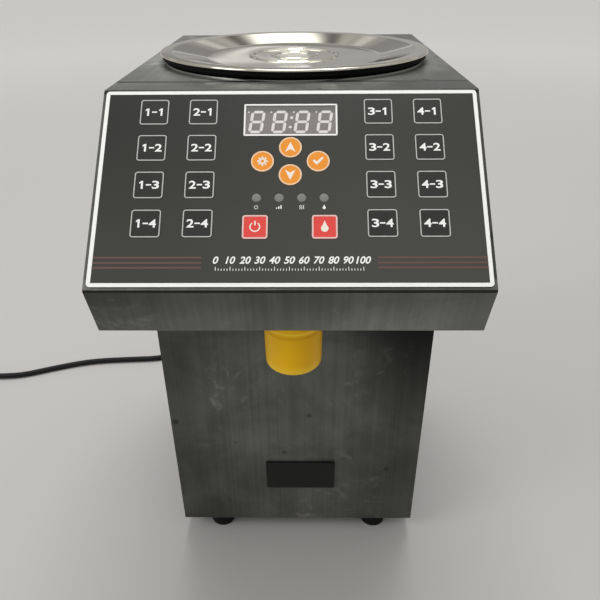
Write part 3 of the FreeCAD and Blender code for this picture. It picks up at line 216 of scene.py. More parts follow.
def soft_box(name, place, aim, width, depth, power):
    """A rectangular lamp at a place, turned towards a point."""
    lamp = bpy.data.lights.new(name, "AREA")
    lamp.shape = "RECTANGLE"
    lamp.size = width
    lamp.size_y = depth
    lamp.energy = power
    lamp_object = bpy.data.objects.new(name, lamp)
    turn = (Vector(aim) - Vector(place)).to_track_quat("-Z", "Y").to_matrix().to_4x4()
    lamp_object.matrix_world = Matrix.Translation(place) @ turn
    bpy.context.scene.collection.objects.link(lamp_object)


soft_box("box_overhead", (0.05, 0.75, 2.3), (0.0, 0.05, 0.3), 1.1, 0.9, 26.0)
soft_box("box_left", (-1.9, -1.0, 1.7), (0.0, 0.0, 0.25), 1.0, 1.0, 14.0)

room_light = 0.62
room_tint = (1.0, 0.995, 0.98, 1.0)
wall_shade = 0.38
ceiling_shade = 0.60
ceiling_edge = (0.55, 0.75)
far_wall_depth = (0.3, 0.7)
end_blur = 6                          # a patch's ends are softer than its long edges by this
# Patches of the far wall: lowest and highest rise of the mirrored ray, its left and
# right end, the blur of the edges, and how much brighter the wall is there.
far_wall_patches = (
    (0.1750, 0.3300, -1.000, 1.000, 0.0100, -0.09),       # the wall over a counter
    (0.3720, 0.4120, -1.000, 1.000, 0.0080, 0.32),        # a pale shelf
    (0.4300, 0.4600, -1.000, 1.000, 0.0060, 0.14),        # the wall above the shelf
    (0.4640, 0.4870, -1.000, 1.000, 0.0060, -0.30),       # a dark sill
    (0.4985, 0.6200, -0.156, 0.118, 0.0050, 1.70),        # the window over it
    (0.1280, 0.1360, -0.042, -0.001, 0.0010, 1.10),       # lamps near the horizon
    (0.1412, 0.1445, -0.048, -0.009, 0.0010, 0.55),
    (0.1508, 0.1560, -0.058, 0.027, 0.0015, 0.30),
    (0.1565, 0.1680, -0.180, 0.140, 0.0020, 0.42))

room = Finish("room", bpy.data.worlds.new("room"))
bpy.context.scene.world = room.material
room_ray = room.node("ShaderNodeTexCoord", output="Generated")
room_side, room_depth, room_rise = [
    room.node("ShaderNodeSeparateXYZ", sockets={0: room_ray}, output=axis) for axis in "XYZ"]
room_shade = wall_shade + room.ramp(room_rise, *ceiling_edge) * (ceiling_shade - wall_shade)
for low, high, left, right, blur, change in far_wall_patches:
    patch = room.band(room_rise, low, high, blur) * room.band(room_side, left, right, blur * end_blur)
    room_shade = room_shade + patch * room.ramp(room_depth, *far_wall_depth) * change
mirrored = room.node("ShaderNodeLightPath", output="Is Glossy Ray")
room_shader = room.node("ShaderNodeBackground", {}, {
    "Color": room_tint, "Strength": room_light + (room_shade - room_light) * mirrored})
room.node("ShaderNodeOutputWorld", {}, {"Surface": room_shader})


# ------------------------------------------------------------------- mains cord
# A round 7 mm rubber-sheathed lead of about 1.5 m. It leaves through the gland
# low on the rear, drops to the counter, runs off to the left and ends in a flat
# coil of four turns, two beside each other and two on top.
cord_radius = 0.0035
cord_rest = 0.0036
cord_route = [
    (-0.062, 0.1745, 0.046), (-0.062, 0.220, 0.046), (-0.066, 0.246, 0.042), (-0.079, 0.266, 0.033),
    (-0.101, 0.274, 0.0215), (-0.127, 0.268, 0.011), (-0.155, 0.2485, 0.0048),
    (-0.191, 0.2265, cord_rest), (-0.240, 0.2235, cord_rest), (-0.292, 0.219, cord_rest),
    (-0.338, 0.203, cord_rest), (-0.376, 0.1865, cord_rest), (-0.416, 0.185, cord_rest),
    (-0.452, 0.185, cord_rest)]
coil_centre = (-0.480, 0.1425)
coil_outer = 0.0425
coil_inner = 0.0355
coil_step = 15            # degrees between two points of a turn
coil_angle = 1440         # four turns
# A control point lies this much further out than the curve that it draws.
coil_reach = 1 / (0.75 + 0.25 * math.cos(math.radians(coil_step)))


def eased(angle, start, end):
    """0 before the start, 1 past the end, and a smooth step between them."""
    share = min(1.0, max(0.0, (angle - start) / (end - start)))
    return share * share * (3 - 2 * share)


for angle in range(coil_step, coil_angle, coil_step):
    inward = eased(angle, 305, 355) - eased(angle, 965, 1030)     # 1 on the two inner turns
    layer = eased(angle, 630, 690) + eased(angle, 1310, 1370)     # how many turns lie underneath
    radius = (coil_outer + (coil_inner - coil_outer) * inward) * coil_reach
    direction = math.radians(90 + angle)
    cord_route.append((coil_centre[0] + radius * math.cos(direction),
                       coil_centre[1] + radius * math.sin(direction),
                       cord_rest + 2 * cord_radius * layer))
coil_exit_y = coil_centre[1] + coil_outer
cord_route += [(-0.480, coil_exit_y, 0.0176), (-0.491, coil_exit_y, 0.0174),
               (-0.502, coil_exit_y, 0.0140), (-0.511, coil_exit_y, 0.0108), (-0.524, coil_exit_y, 0.0106)]

cord_finish = Finish("cord_sheath")
cord_grain = cord_finish.noise(900.0, detail=2.0)
cord_dust = cord_finish.ramp(cord_finish.noise(60.0, detail=3.0), 0.45, 0.75)
cord_curve = bpy.data.curves.new("mains_cord", "CURVE")
cord_curve.dimensions = "3D"
cord_curve.bevel_depth = cord_radius
cord_curve.bevel_resolution = 6
cord_curve.use_fill_caps = True
cord_curve.resolution_u = 10
cord_spline = cord_curve.splines.new("NURBS")
cord_spline.points.add(len(cord_route) - 1)
for point, spot in zip(cord_spline.points, cord_route):
    point.co = (*spot, 1.0)
cord_spline.order_u = 3
cord_spline.use_endpoint_u = True
cord_curve.materials.append(cord_finish.surface(
    Base_Color=cord_finish.mix(cord_dust * 0.35, (0.007, 0.007, 0.007), (0.022, 0.022, 0.021)),
    Roughness=0.46 + cord_dust * 0.2, Specular_IOR_Level=0.25,
    Normal=cord_finish.bump(cord_grain, 0.0001, 0.4)))
cord = bpy.data.objects.new("mains_cord", cord_curve)
bpy.context.scene.collection.objects.link(cord)
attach(cord, "dispenser")
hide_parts("power_cord", "cord_coil")


# ------------------------------------------------------------------------- plug
# Moulded on the cord's end: a soft sleeve with flex ribs, a gripping body with
# rounded edges, two flat blades and a round earth pin of plated brass.
plug_y = coil_exit_y
plug_z = 0.0106
plug_back = -0.542
plug_length = 0.040
plug_width = 0.026
plug_height = 0.021
plug_face = plug_back - plug_length
plug_rounding = 0.0045
grip_ribs = 5
grip_start = 0.010
grip_pitch = 0.0036
grip_size = (0.0016, plug_width * 0.62, 0.0012)
sleeve_start = -0.520
sleeve_radii = (0.0043, 0.0069)
sleeve_ribs = 6
rib_span = (0.35, 0.80)      # where a rib lies on its share of the sleeve
sleeve_groove = 0.0011
groove_end = 0.0008
sleeve_overlap = 0.004       # how far the sleeve runs into the body
blade_size = (0.0160, 0.0015, 0.0063)
blade_spacing = 0.0127
blade_rise = 0.00165
pin_length = 0.020
pin_radius = 0.0024
pin_drop = 0.0065
pin_root = 0.002             # moulded into the body


def box_mesh(bm, centre, size, rounding, segments):
    """Adds a box with rounded edges to a bmesh."""
    corners = bmesh.ops.create_cube(bm, size=1.0)["verts"]
    bmesh.ops.scale(bm, vec=size, verts=corners)
    bmesh.ops.translate(bm, vec=centre, verts=corners)
    edges = list({edge for corner in corners for edge in corner.link_edges})
    bmesh.ops.bevel(bm, geom=edges, offset=rounding, offset_type="OFFSET", affect="EDGES",
                    segments=segments, profile=0.5, material=-1)


def turned_mesh(corners, segments, centre=(0.0, 0.0), closed=True):
    """Spins a profile of (radius, height, rounding) corners about a vertical axis."""
    bm = bmesh.new()
    points = [bm.verts.new((radius, 0.0, height)) for radius, height, rounding in corners]
    for first, second in zip(points, points[1:]):
        bm.edges.new((first, second))
    if closed:
        bm.edges.new((points[-1], points[0]))
    for point, (radius, height, rounding) in zip(points, corners):
        if rounding:
            bmesh.ops.bevel(bm, geom=[point], offset=rounding, offset_type="OFFSET",
                            affect="VERTICES", segments=5, profile=0.5, material=-1)
    bmesh.ops.spin(bm, geom=bm.verts[:] + bm.edges[:], cent=(0, 0, 0), axis=(0, 0, 1), dvec=(0, 0, 0),
                   angle=2 * math.pi, steps=segments, use_merge=True, use_duplicate=False)
    bmesh.ops.remove_doubles(bm, verts=bm.verts, dist=1e-6)
    bmesh.ops.recalc_face_normals(bm, faces=bm.faces)
    bmesh.ops.translate(bm, verts=bm.verts, vec=(*centre, 0.0))
    return bm


def mottled(name, colours, patches, roughness, spread=0.0, grain=None, relief=None, **sockets):
    """A finish whose patches run from one colour to another.

    The patches, or a finer grain, roughen it by up to the spread and make its relief. Both are
    given as a noise's scale and detail, and the relief as a bump's distance and strength."""
    finish = Finish(name)
    drift = finish.noise(*patches)
    fine = finish.noise(*grain) if grain else drift
    if spread:
        roughness = roughness + fine * spread
    if relief:
        sockets["Normal"] = finish.bump(fine, *relief)
    return finish.surface(Base_Color=finish.mix(drift, *colours), Roughness=roughness, **sockets)


moulded_rubber = mottled("moulded_rubber", ((0.014, 0.014, 0.014), (0.026, 0.026, 0.025)), (45.0, 3.0),
                         roughness=0.45, spread=0.15, grain=(1400.0, 2.0), relief=(0.0001, 0.5))

sleeve_length = sleeve_start - plug_back
sleeve_corners = [(cord_radius, 0.0, 0.0), (sleeve_radii[0], 0.0, 0.0004)]
for rib in range(sleeve_ribs):
    low, high = [sleeve_length * (rib + share) / sleeve_ribs for share in rib_span]
    radius = sleeve_radii[0] + (sleeve_radii[1] - sleeve_radii[0]) * (rib + 1) / sleeve_ribs
    sleeve_corners += [(radius, low, 0.0003), (radius, high, 0.0003), (radius - sleeve_groove, high, 0.0002),
                       (radius - groove_end, low + sleeve_length / sleeve_ribs, 0.0)]
sleeve_corners = sleeve_corners[:-1] + [(radius - sleeve_groove, sleeve_length + sleeve_overlap, 0.0),
                                        (cord_radius, sleeve_length + sleeve_overlap, 0.0)]
plug_mesh = turned_mesh(sleeve_corners, 48)
bmesh.ops.rotate(plug_mesh, verts=plug_mesh.verts, cent=(0, 0, 0),
                 matrix=Matrix.Rotation(-math.pi / 2, 3, "Y"))
bmesh.ops.translate(plug_mesh, verts=plug_mesh.verts, vec=(sleeve_start, plug_y, plug_z))
box_mesh(plug_mesh, (plug_back - plug_length / 2, plug_y, plug_z),
         (plug_length, plug_width, plug_height), plug_rounding, 5)
for step in range(grip_ribs):
    for side in (-1, 1):
        rib_z = plug_z + side * (plug_height / 2 - 0.0003)
        box_mesh(plug_mesh, (plug_back - grip_start - grip_pitch * step, plug_y, rib_z), grip_size, 0.0005, 2)
plug_body = piece_from("plug_body", plug_mesh, "dispenser", moulded_rubber)
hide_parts("plug")

pin_finish = Finish("plated_pins")
pin_scuffs = pin_finish.noise(500.0, detail=3.0, stretch=(0.1, 1.0, 1.0))
plated_pins = pin_finish.surface(Base_Color=(0.66, 0.63, 0.55), Metallic=1.0,
                                 Roughness=0.18 + pin_scuffs * 0.2)
pin_mesh = bmesh.new()
for side in (-1, 1):
    box_mesh(pin_mesh, (plug_face - blade_size[0] / 2 + pin_root / 2, plug_y + side * blade_spacing / 2,
                        plug_z + blade_rise), (blade_size[0] + pin_root, *blade_size[1:]), 0.0004, 2)
earth = bmesh.ops.create_cone(pin_mesh, cap_ends=True, segments=32, radius1=pin_radius, radius2=pin_radius,
                              depth=pin_length + pin_root)["verts"]
bmesh.ops.rotate(pin_mesh, verts=earth, cent=(0, 0, 0), matrix=Matrix.Rotation(math.pi / 2, 3, "Y"))
bmesh.ops.translate(pin_mesh, verts=earth,
                    vec=(plug_face - pin_length / 2 + pin_root / 2, plug_y, plug_z - pin_drop))
plug_pins = piece_from("plug_pins", pin_mesh, "dispenser", plated_pins)


# ------------------------------------------------------------------ sheet shell
# Folded from 1 mm stainless sheet, dark plated over an upright hairline brushing.
# Handling leaves cloudy wipe marks, a few dark specks and pale scuffs on it.
# Painted light and shade scale the colour of the hood, front and top; a darker tone scales the sides and
# back.
sheet_dark = (0.080, 0.083, 0.071)
sheet_pale = (0.200, 0.203, 0.184)
sheet_scuffed = (0.300, 0.300, 0.275)
sheet_speck = (0.022, 0.023, 0.020)
# Dark lines: along the folds they are painted shade, along the seam a dark joint.
sheet_fold_shade_and_joint = (0.010, 0.010, 0.009)
brow_fold = (-0.08950, 0.42530, 0.0014, 0.0024)     # y, z and the inner and outer reach of the dark line painted there
nose_fold = (-0.17955, 0.34085, 0.0007, 0.0012)
cover_seam = (-0.06325, 0.4260, 0.0017, 0.0027)
hood_bend = 0.3415                                  # where the slope turns down into the face


def plated_sheet(name, fine_axis, tone_and_shade, folds=(), scuffs=0.80):
    """Dark brushed sheet; the hairlines are fine along one axis and run along the others."""
    finish = Finish(name)
    stretch = tuple(1.0 if axis == fine_axis else 0.006 for axis in "xyz")
    hairline = finish.noise(1000.0, detail=3.0, stretch=stretch)
    streak = finish.ramp(finish.noise(330.0, detail=2.0, stretch=stretch), 0.30, 0.70)
    cloud = finish.ramp(finish.noise(16.0, detail=6.0, warp=0.5, roughness=0.65), 0.36, 0.68)
    wipe = finish.ramp(finish.noise(44.0, detail=6.0, warp=1.6, roughness=0.62), 0.52, 0.72)
    wipe = wipe * finish.ramp(finish.noise(11.0, detail=2.0), 0.46, 0.62)
    speck = finish.node("ShaderNodeTexVoronoi", {"feature": "F1"},
                        {"Vector": finish.place((26.0, 26.0, 26.0)), "Scale": 1.0, "Randomness": 1.0})
    spot = 1 - finish.ramp(speck, 0.04, 0.11)
    shade = finish.mix(cloud * 0.52 + streak * 0.18 + hairline * 0.30, sheet_dark, sheet_pale)
    shade = finish.mix(wipe * scuffs, shade, sheet_scuffed)
    shade = finish.mix(spot * 0.70, shade, sheet_speck)
    # The colour is scaled panel by panel: by painted light and shade on the hood, front and top, and by a
    # darker tone on the sides and back.
    shade = finish.node("ShaderNodeVectorMath", {"operation": "SCALE"},
                        {"Vector": shade, "Scale": tone_and_shade(finish)}, output="Vector")
    # Painted shade darkens a line along each fold; along a seam the line is a dark joint.
    for y, z, near, far in folds:
        fold_shade_and_joint = 1 - finish.ramp(distance_from(finish, (0.0, y, z), (0.0, 1.0, 1.0)), near, far)
        shade = finish.mix(fold_shade_and_joint * 0.95, shade, sheet_fold_shade_and_joint)
    return finish.surface(
        Base_Color=shade, Metallic=0.55,
        Roughness=0.31 + cloud * 0.07 + wipe * 0.10 + hairline * 0.06,
        Normal=finish.bump(hairline, 0.00004, 0.35))


def dressed(finish, *names):
    """Gives CAD nodes their finish."""
    for name in names:
        node = nodes[name]
        node.data.materials.clear()
        node.data.materials.append(finish)


def centre_of(name):
    """The middle of a node's box."""
    low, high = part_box(name)
    return (low + high) / 2


def near_lid(finish):
    """The share of painted light round the lid, which fades out over its first centimetres."""
    away = distance_from(finish, (0.0, centre_of("lid").y, 0.0), (1.0, 1.0, 0.0))
    return 1 - finish.ramp(away, 0.100, 0.125)


def hood_wear(finish):
    """Painted shade and light on the hood: its face is darker at its left end and under its bend; its top is
    lighter by the lid and just over the bend.
    """
    x, z = finish.axis("X"), finish.axis("Z")
    right = finish.ramp(x, -0.02, 0.02)
    left_end = 1 - finish.ramp(x, -0.10, -0.04)
    face_foot = 1 - finish.ramp(z, 0.306, 0.338)
    face = (0.74 + right * 0.18 - left_end * 0.35 - finish.ramp(x, 0.075, 0.105) * 0.20
            + face_foot * (0.60 + right * 0.18 - finish.ramp(x, 0.055, 0.095) * 0.50))
    over_bend_light = finish.band(z, hood_bend, hood_bend + 0.0045, 0.0005)
    top = 0.95 + near_lid(finish) * 0.80 - finish.ramp(x, 0.0, 0.09) * 0.45 + over_bend_light * 0.60
    return top + finish.ramp(z, hood_bend, hood_bend - 0.002) * (face - top)


def front_wear(finish):
    """Painted shade on the front panel: darker under the head and along both sides, most of all at the upper
    right.
    """
    x, z = finish.axis("X"), finish.axis("Z")
    upper = finish.ramp(z, 0.13, 0.245)
    under_head = finish.ramp(z, 0.20, 0.245)
    foot = 1 - finish.ramp(z, 0.03, 0.13)
    right = finish.ramp(x, 0.015, 0.085)
    left = 1 - finish.ramp(x, -0.090, -0.015)
    both_sides = finish.ramp(x, 0.07, 0.10) + 1 - finish.ramp(x, -0.10, -0.07)
    edges = finish.band(z, 0.06, 0.22, 0.03) * both_sides
    return (1.04 - left * 0.30 - right * 0.34 - upper * (0.18 + right * 0.36)
            - under_head * 0.16 - foot * 0.20 - edges * 0.20)


def cover_wear(finish):
    """Painted light on the top cover by the lid, and painted shade towards its right."""
    return 1.0 + near_lid(finish) * 0.80 - finish.ramp(finish.axis("X"), 0.02, 0.10) * 0.34


def side_wear(finish):
    """The sides and the back are a little duller towards the counter."""
    return 0.66 + finish.ramp(finish.axis("Z"), 0.0, 0.30) * 0.12


dressed(plated_sheet("plated_sheet_hood", "x", hood_wear, (brow_fold, nose_fold, cover_seam)), "front_hood")
dressed(plated_sheet("plated_sheet_front", "x", front_wear), "front_panel")
dressed(plated_sheet("plated_sheet_top", "x", cover_wear, (cover_seam,)), "top_cover")
dressed(plated_sheet("plated_sheet_flat", "x", side_wear, scuffs=0.25),
        "rear_panel", "nozzle_plate", "base_plate")
dressed(plated_sheet("plated_sheet_sides", "y", side_wear, scuffs=0.25),
        "side_panel_left", "side_panel_right")


# -------------------------------------------------------------- feet and screws
# Four black rubber feet, each held by a screw in its recess, and zinc-plated
# pan-head screws that hold the rear panel, the base plate and the pump.
dressed(mottled("black_rubber", ((0.005, 0.005, 0.005), (0.011, 0.011, 0.010)), (700.0, 3.0),
                roughness=0.75, spread=0.12, relief=(0.0002, 0.4), Specular_IOR_Level=0.15), "rubber_feet")
dressed(mottled("zinc_plating", ((0.50, 0.49, 0.46), (0.66, 0.66, 0.62)), (220.0, 3.0),
                roughness=0.28, spread=0.14, Metallic=1.0), "screws")


# ------------------------------------------------------------------------- tank
# Drawn pot of polished stainless steel with a flat flange that lies on the top
# cover; the spout for the suction hose is welded under its floor.
def polished_steel(name, colour, roughness, centre=None, drawn=None):
    """Stainless steel with fine rings about a vertical axis, or plain if it has no centre.

    Between the two radii of drawn it is duller, as a deep-drawn side is, and darker with painted shade."""
    finish = Finish(name)
    smear = finish.noise(28.0, detail=4.0, warp=0.6)
    tint = finish.mix(finish.ramp(smear, 0.35, 0.75), colour, tuple(c * 0.90 for c in colour))
    if centre:
        radius = distance_from(finish, (*centre, 0.0), (1.0, 1.0, 0.0))
        grain = finish.node("ShaderNodeTexNoise", {"noise_dimensions": "1D"},
                            {"W": radius, "Scale": 1500.0, "Detail": 2.0})
    else:
        grain = finish.noise(900.0, detail=2.0, stretch=(1.0, 1.0, 0.05))
    height = grain * 0.0000008
    if drawn:
        dull_and_shaded = finish.band(radius, *drawn, 0.0006)
        # Painted shade darkens the drawn side, which is also rougher.
        tint = finish.mix(dull_and_shaded * 0.75, tint, tuple(c * 0.72 for c in colour))
        # The sheet is a little out of flat, which twists the room in its mirror image.
        height = height - finish.axis("X") * (finish.axis("Y") - centre[1]) * 0.24
        roughness = roughness + dull_and_shaded * 0.025
    return finish.surface(Base_Color=tint, Metallic=1.0,
                          Roughness=roughness + smear * 0.03 + grain * 0.02,
                          Normal=finish.bump(height, 1.0))


dressed(polished_steel("pot_steel", (0.74, 0.72, 0.68), 0.14, centre_of("tank")[:2]), "tank")


# -------------------------------------------------------------------------- lid
# Pressed from polished stainless sheet: a flat rim with a rolled edge, a sloping
# side down to a shallow pan, and two raised rings about the middle.
lid_low, lid_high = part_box("lid")
lid_centre = (lid_low + lid_high) / 2
lid_radius = (lid_high.x - lid_low.x) / 2
lid_top = lid_high.z
lid_wall = 0.0009
lid_rim_width = 0.0093
lid_lip_height = 0.0013
lid_slope_width = 0.0250
lid_pan_depth = 0.0058
ring_radii = (0.016, 0.032)
ring_half = 0.0021
ring_crown = ring_half * 0.25
ring_foot = ring_half + 0.0012
ring_height = 0.0008
pan_top = lid_top - lid_pan_depth
ring_top = pan_top + ring_height
rim_inner = lid_radius - lid_rim_width
pan_radius = rim_inner - lid_slope_width

lid_upper = [(0.0, pan_top, 0.0)]
for radius in ring_radii:
    lid_upper += [
        (radius - ring_foot, pan_top, 0.0), (radius - ring_half, pan_top, 0.0006),
        (radius - ring_crown, ring_top, 0.0004), (radius + ring_crown, ring_top, 0.0004),
        (radius + ring_half, pan_top, 0.0006), (radius + ring_foot, pan_top, 0.0)]
lid_upper += [(pan_radius, pan_top, 0.0023), (rim_inner, lid_top, 0.0008), (lid_radius, lid_top, 0.0012)]
lid_lower = [
    (lid_radius, lid_top - lid_lip_height, 0.0004), (lid_radius - lid_wall, lid_top - lid_lip_height, 0.0004),
    (lid_radius - lid_wall, lid_top - lid_wall, 0.0003), (rim_inner + 0.0001, lid_top - lid_wall, 0.0007),
    (pan_radius + 0.0001, pan_top - lid_wall, 0.0024), (0.0, pan_top - lid_wall, 0.0)]
lid_mesh = turned_mesh(lid_upper + lid_lower, 288, lid_centre[:2], closed=False)
lid_steel = polished_steel("lid_steel", (0.84, 0.80, 0.68), 0.02, lid_centre[:2], (pan_radius, rim_inner))
lid_piece = piece_from("pressed_lid", lid_mesh, "lid_set", lid_steel, 50.0)
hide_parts("lid")


# --------------------------------------------------------------------- lid seal
# Black silicone ring bonded under the lid's rim; its chamfered foot rests on the
# tank's flange and keeps the syrup from drying out.
seal_low, seal_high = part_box("lid_seal")
seal_radius = (seal_high.x - seal_low.x) / 2
seal_width = 0.0066
seal_chamfer = 0.0012
seal_skirt_width = 0.0048
seal_skirt_height = 0.0022
seal_inner = seal_radius - seal_width

seal_silicone = mottled("seal_silicone", ((0.003, 0.003, 0.003), (0.007, 0.007, 0.007)), (80.0, 3.0),
                        roughness=0.60, spread=0.2, Specular_IOR_Level=0.12)
seal_mesh = turned_mesh([
    (seal_inner, seal_low.z + seal_chamfer, 0.0004), (seal_inner + seal_chamfer, seal_low.z, 0.0004),
    (seal_radius - seal_skirt_width, seal_low.z, 0.0004),
    (seal_radius, seal_low.z + seal_skirt_height, 0.0006),
    (seal_radius, seal_high.z, 0.0), (seal_inner, seal_high.z, 0.0)], 288, lid_centre[:2])
seal = piece_from("lid_seal_ring", seal_mesh, "lid_set", seal_silicone)
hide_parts("lid_seal")


# ---------------------------------------------------------------- outlet nozzle
# Polished stainless tube that hangs from its flange inside the head; the syrup
# leaves through its narrow tip.
dressed(polished_steel("nozzle_steel", (0.70, 0.69, 0.66), 0.16, centre_of("outlet_nozzle")[:2]),
        "outlet_nozzle")


# ------------------------------------------------------------------- nozzle cap
# Yellow moulded cap, pushed over the nozzle tube from below. It has a lip at the
# top, a fine waist, and a foot rounded over to the mouth.
cap_low, cap_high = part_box("nozzle_cap")
cap_centre = (cap_low + cap_high) / 2
cap_lip_radius = (cap_high.x - cap_low.x) / 2
cap_bore = 0.0147
cap_body_radius = 0.0199
cap_neck_radius = 0.0191
cap_mouth_radius = 0.0080
cap_lip_height = 0.0257
cap_neck_height = 0.0050
cap_neck_taper = 0.0014
cap_floor = 0.0050
cap_foot = cap_low.z
cap_top = cap_high.z
lip_foot = cap_top - cap_lip_height
neck_foot = lip_foot - cap_neck_height

cap_finish = Finish("yellow_moulding")
cap_cloud = cap_finish.noise(70.0, detail=3.0)
cap_grain = cap_finish.noise(1500.0, detail=2.0)
# Painted highlights: a paler foot and a pale band just under the lip; painted shade darkens the cap towards
# its right.
cap_foot_highlight = 1 - cap_finish.ramp(cap_finish.axis("Z"), cap_foot + 0.001, cap_foot + 0.011)
cap_neck_highlight = cap_finish.band(cap_finish.axis("Z"), lip_foot - 0.0022, lip_foot + 0.0004, 0.0004)
cap_right_shade = cap_finish.ramp(cap_finish.axis("X"), -0.006, 0.012)
cap_paint = cap_finish.mix(cap_cloud * 0.3 + cap_right_shade * 0.7, (1.0, 0.56, 0.005), (0.78, 0.41, 0.003))
cap_paint = cap_finish.mix(cap_foot_highlight * 0.6 + cap_neck_highlight * 0.7, cap_paint, (1.0, 0.68, 0.055))
cap_mesh = turned_mesh([
    (cap_bore, cap_top, 0.0004), (cap_bore, cap_foot + cap_floor, 0.002),
    (cap_mouth_radius, cap_foot + cap_floor, 0.0), (cap_mouth_radius, cap_foot, 0.0006),
    (cap_body_radius - 0.0005, cap_foot, 0.0045), (cap_body_radius, neck_foot, 0.0005),
    (cap_neck_radius, neck_foot + cap_neck_taper, 0.0005), (cap_neck_radius, lip_foot, 0.0003),
    (cap_lip_radius, lip_foot, 0.0006), (cap_lip_radius, cap_top, 0.0008)], 128, cap_centre[:2])
cap = piece_from("yellow_nozzle_cap", cap_mesh, "spout_cap", cap_finish.surface(
    Base_Color=cap_paint, Specular_IOR_Level=0.18, Roughness=0.30 + cap_cloud * 0.12,
    Normal=cap_finish.bump(cap_grain, 0.00005, 0.3)))
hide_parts("nozzle_cap")


# -------------------------------------------------------------- graphic overlay
# Dark grey polyester film with a fine texture, bonded on the slope, with windows
# for the keys, the lamps and the display. Its border and stripes are printed.
film_thickness = 0.0012
film_top_margin = 0.0017
film_dark = (0.0100, 0.0106, 0.0080)
film_lit_colour = (0.0580, 0.0592, 0.0500)        # paler towards its foot and its right
ink_height = 0.00006

overlay_low, overlay_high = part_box("panel_overlay")
overlay_half = overlay_high.x
slope_up = (centre_of("key_up") - centre_of("key_down")).normalized()
slope_out = Vector((1.0, 0.0, 0.0)).cross(slope_up)
film_edge = Vector((0.0, overlay_high.y + film_thickness * slope_out.y, overlay_high.z))
brow = film_edge + slope_up * film_top_margin
overlay_length = (overlay_high.z - overlay_low.z - film_thickness * slope_out.z) / slope_up.z
panel_turn = Matrix((Vector((1, 0, 0)), slope_up, slope_out)).transposed().to_4x4()
panel_place = Matrix.Translation(brow) @ panel_turn

film_finish = Finish("overlay_film")
film_grain = film_finish.noise(1500.0, detail=2.0)
film_cloud = film_finish.noise(9.0, detail=3.0)
# Painted light: the film is paler towards its foot and its right.
film_painted_light = 1 - film_finish.ramp(film_finish.axis("Z"), 0.345, 0.42)
film_painted_light = film_painted_light * 0.65 + film_finish.ramp(film_finish.axis("X"), -0.10, 0.06) * 0.35
dressed(film_finish.surface(
    Base_Color=film_finish.mix(film_painted_light * 0.8 + film_cloud * 0.2, film_dark, film_lit_colour),
    Roughness=0.42 + film_cloud * 0.08, Specular_IOR_Level=0.40,
    Normal=film_finish.bump(film_grain, 0.00005, 0.35)), "panel_overlay")


def ink(name, colour):
    """Screen-printed ink, very slightly uneven."""
    return mottled(name, (colour, tuple(c * 0.93 for c in colour)), (160.0, 3.0), roughness=0.45, spread=0.1)


white_ink = ink("white_ink", (0.98, 0.98, 0.96))
grey_ink = ink("pale_grey_ink", (0.52, 0.52, 0.50))
stripe_ink = ink("dark_red_ink", (0.125, 0.062, 0.054))


def thickened(bm, faces, height):
    """Pulls flat faces up into a plate."""
    pulled = bmesh.ops.extrude_face_region(bm, geom=faces, use_keep_orig=True)["geom"]
    corners = [part for part in pulled if isinstance(part, bmesh.types.BMVert)]
    bmesh.ops.translate(bm, vec=(0, 0, height), verts=corners)


def rounded_plate(bm, centre, width, height, corner, line=0.0, low=0.0, high=ink_height):
    """Adds a flat plate, or a frame of a line's width, with rounded corners."""
    outline = bmesh.ops.create_grid(bm, x_segments=1, y_segments=1, size=0.5)["verts"]
    bmesh.ops.scale(bm, vec=(width, height, 1.0), verts=outline)
    bmesh.ops.translate(bm, vec=(*centre, low), verts=outline)
    made = bmesh.ops.bevel(bm, geom=outline, offset=corner, offset_type="OFFSET", affect="VERTICES",
                           segments=6, profile=0.5, material=-1)
    face = made["verts"][0].link_faces[0]
    faces = [face]
    if line:
        faces = bmesh.ops.inset_region(bm, faces=[face], thickness=line, use_boundary=True,
                                       use_even_offset=True)["faces"]
        bmesh.ops.delete(bm, geom=[face], context="FACES_ONLY")
    thickened(bm, faces, high - low)


def printed(name, bm, body, finish):
    """Places a flat print on the panel; its mesh is drawn with X across and Y up the slope."""
    bmesh.ops.transform(bm, matrix=panel_place, verts=bm.verts)
    bmesh.ops.recalc_face_normals(bm, faces=bm.faces)
    piece = piece_from(name, bm, body, finish)
    return piece


border_width = 0.0022
border_corner = 0.0021
border_mesh = bmesh.new()
rounded_plate(border_mesh, (0.0, -film_top_margin - overlay_length / 2), 2 * overlay_half, overlay_length,
              border_corner, border_width)
printed("overlay_border", border_mesh, "dispenser", white_ink)

stripe_rows = (0.10575, 0.1087, 0.1115)
stripe_inner = 0.0472
stripe_outer = 0.1058
stripe_height = 0.0012
stripe_mesh = bmesh.new()
for row in stripe_rows:
    for side in (-1, 1):
        rounded_plate(stripe_mesh, (side * (stripe_inner + stripe_outer) / 2, -row),
                      stripe_outer - stripe_inner, stripe_height, 0.0002)
printed("overlay_stripes", stripe_mesh, "dispenser", stripe_ink)


# -------------------------------------------------------------- graduated scale
# A plain percentage scale, printed in white between the stripes: slanted numbers
# over a ruled line with long and short marks.
scale_row = 0.1072
scale_step = 0.0079
scale_number_height = 0.0042
tick_foot = 0.1132
tick_width = 0.00035
long_tick = 0.0022
short_tick = 0.0012


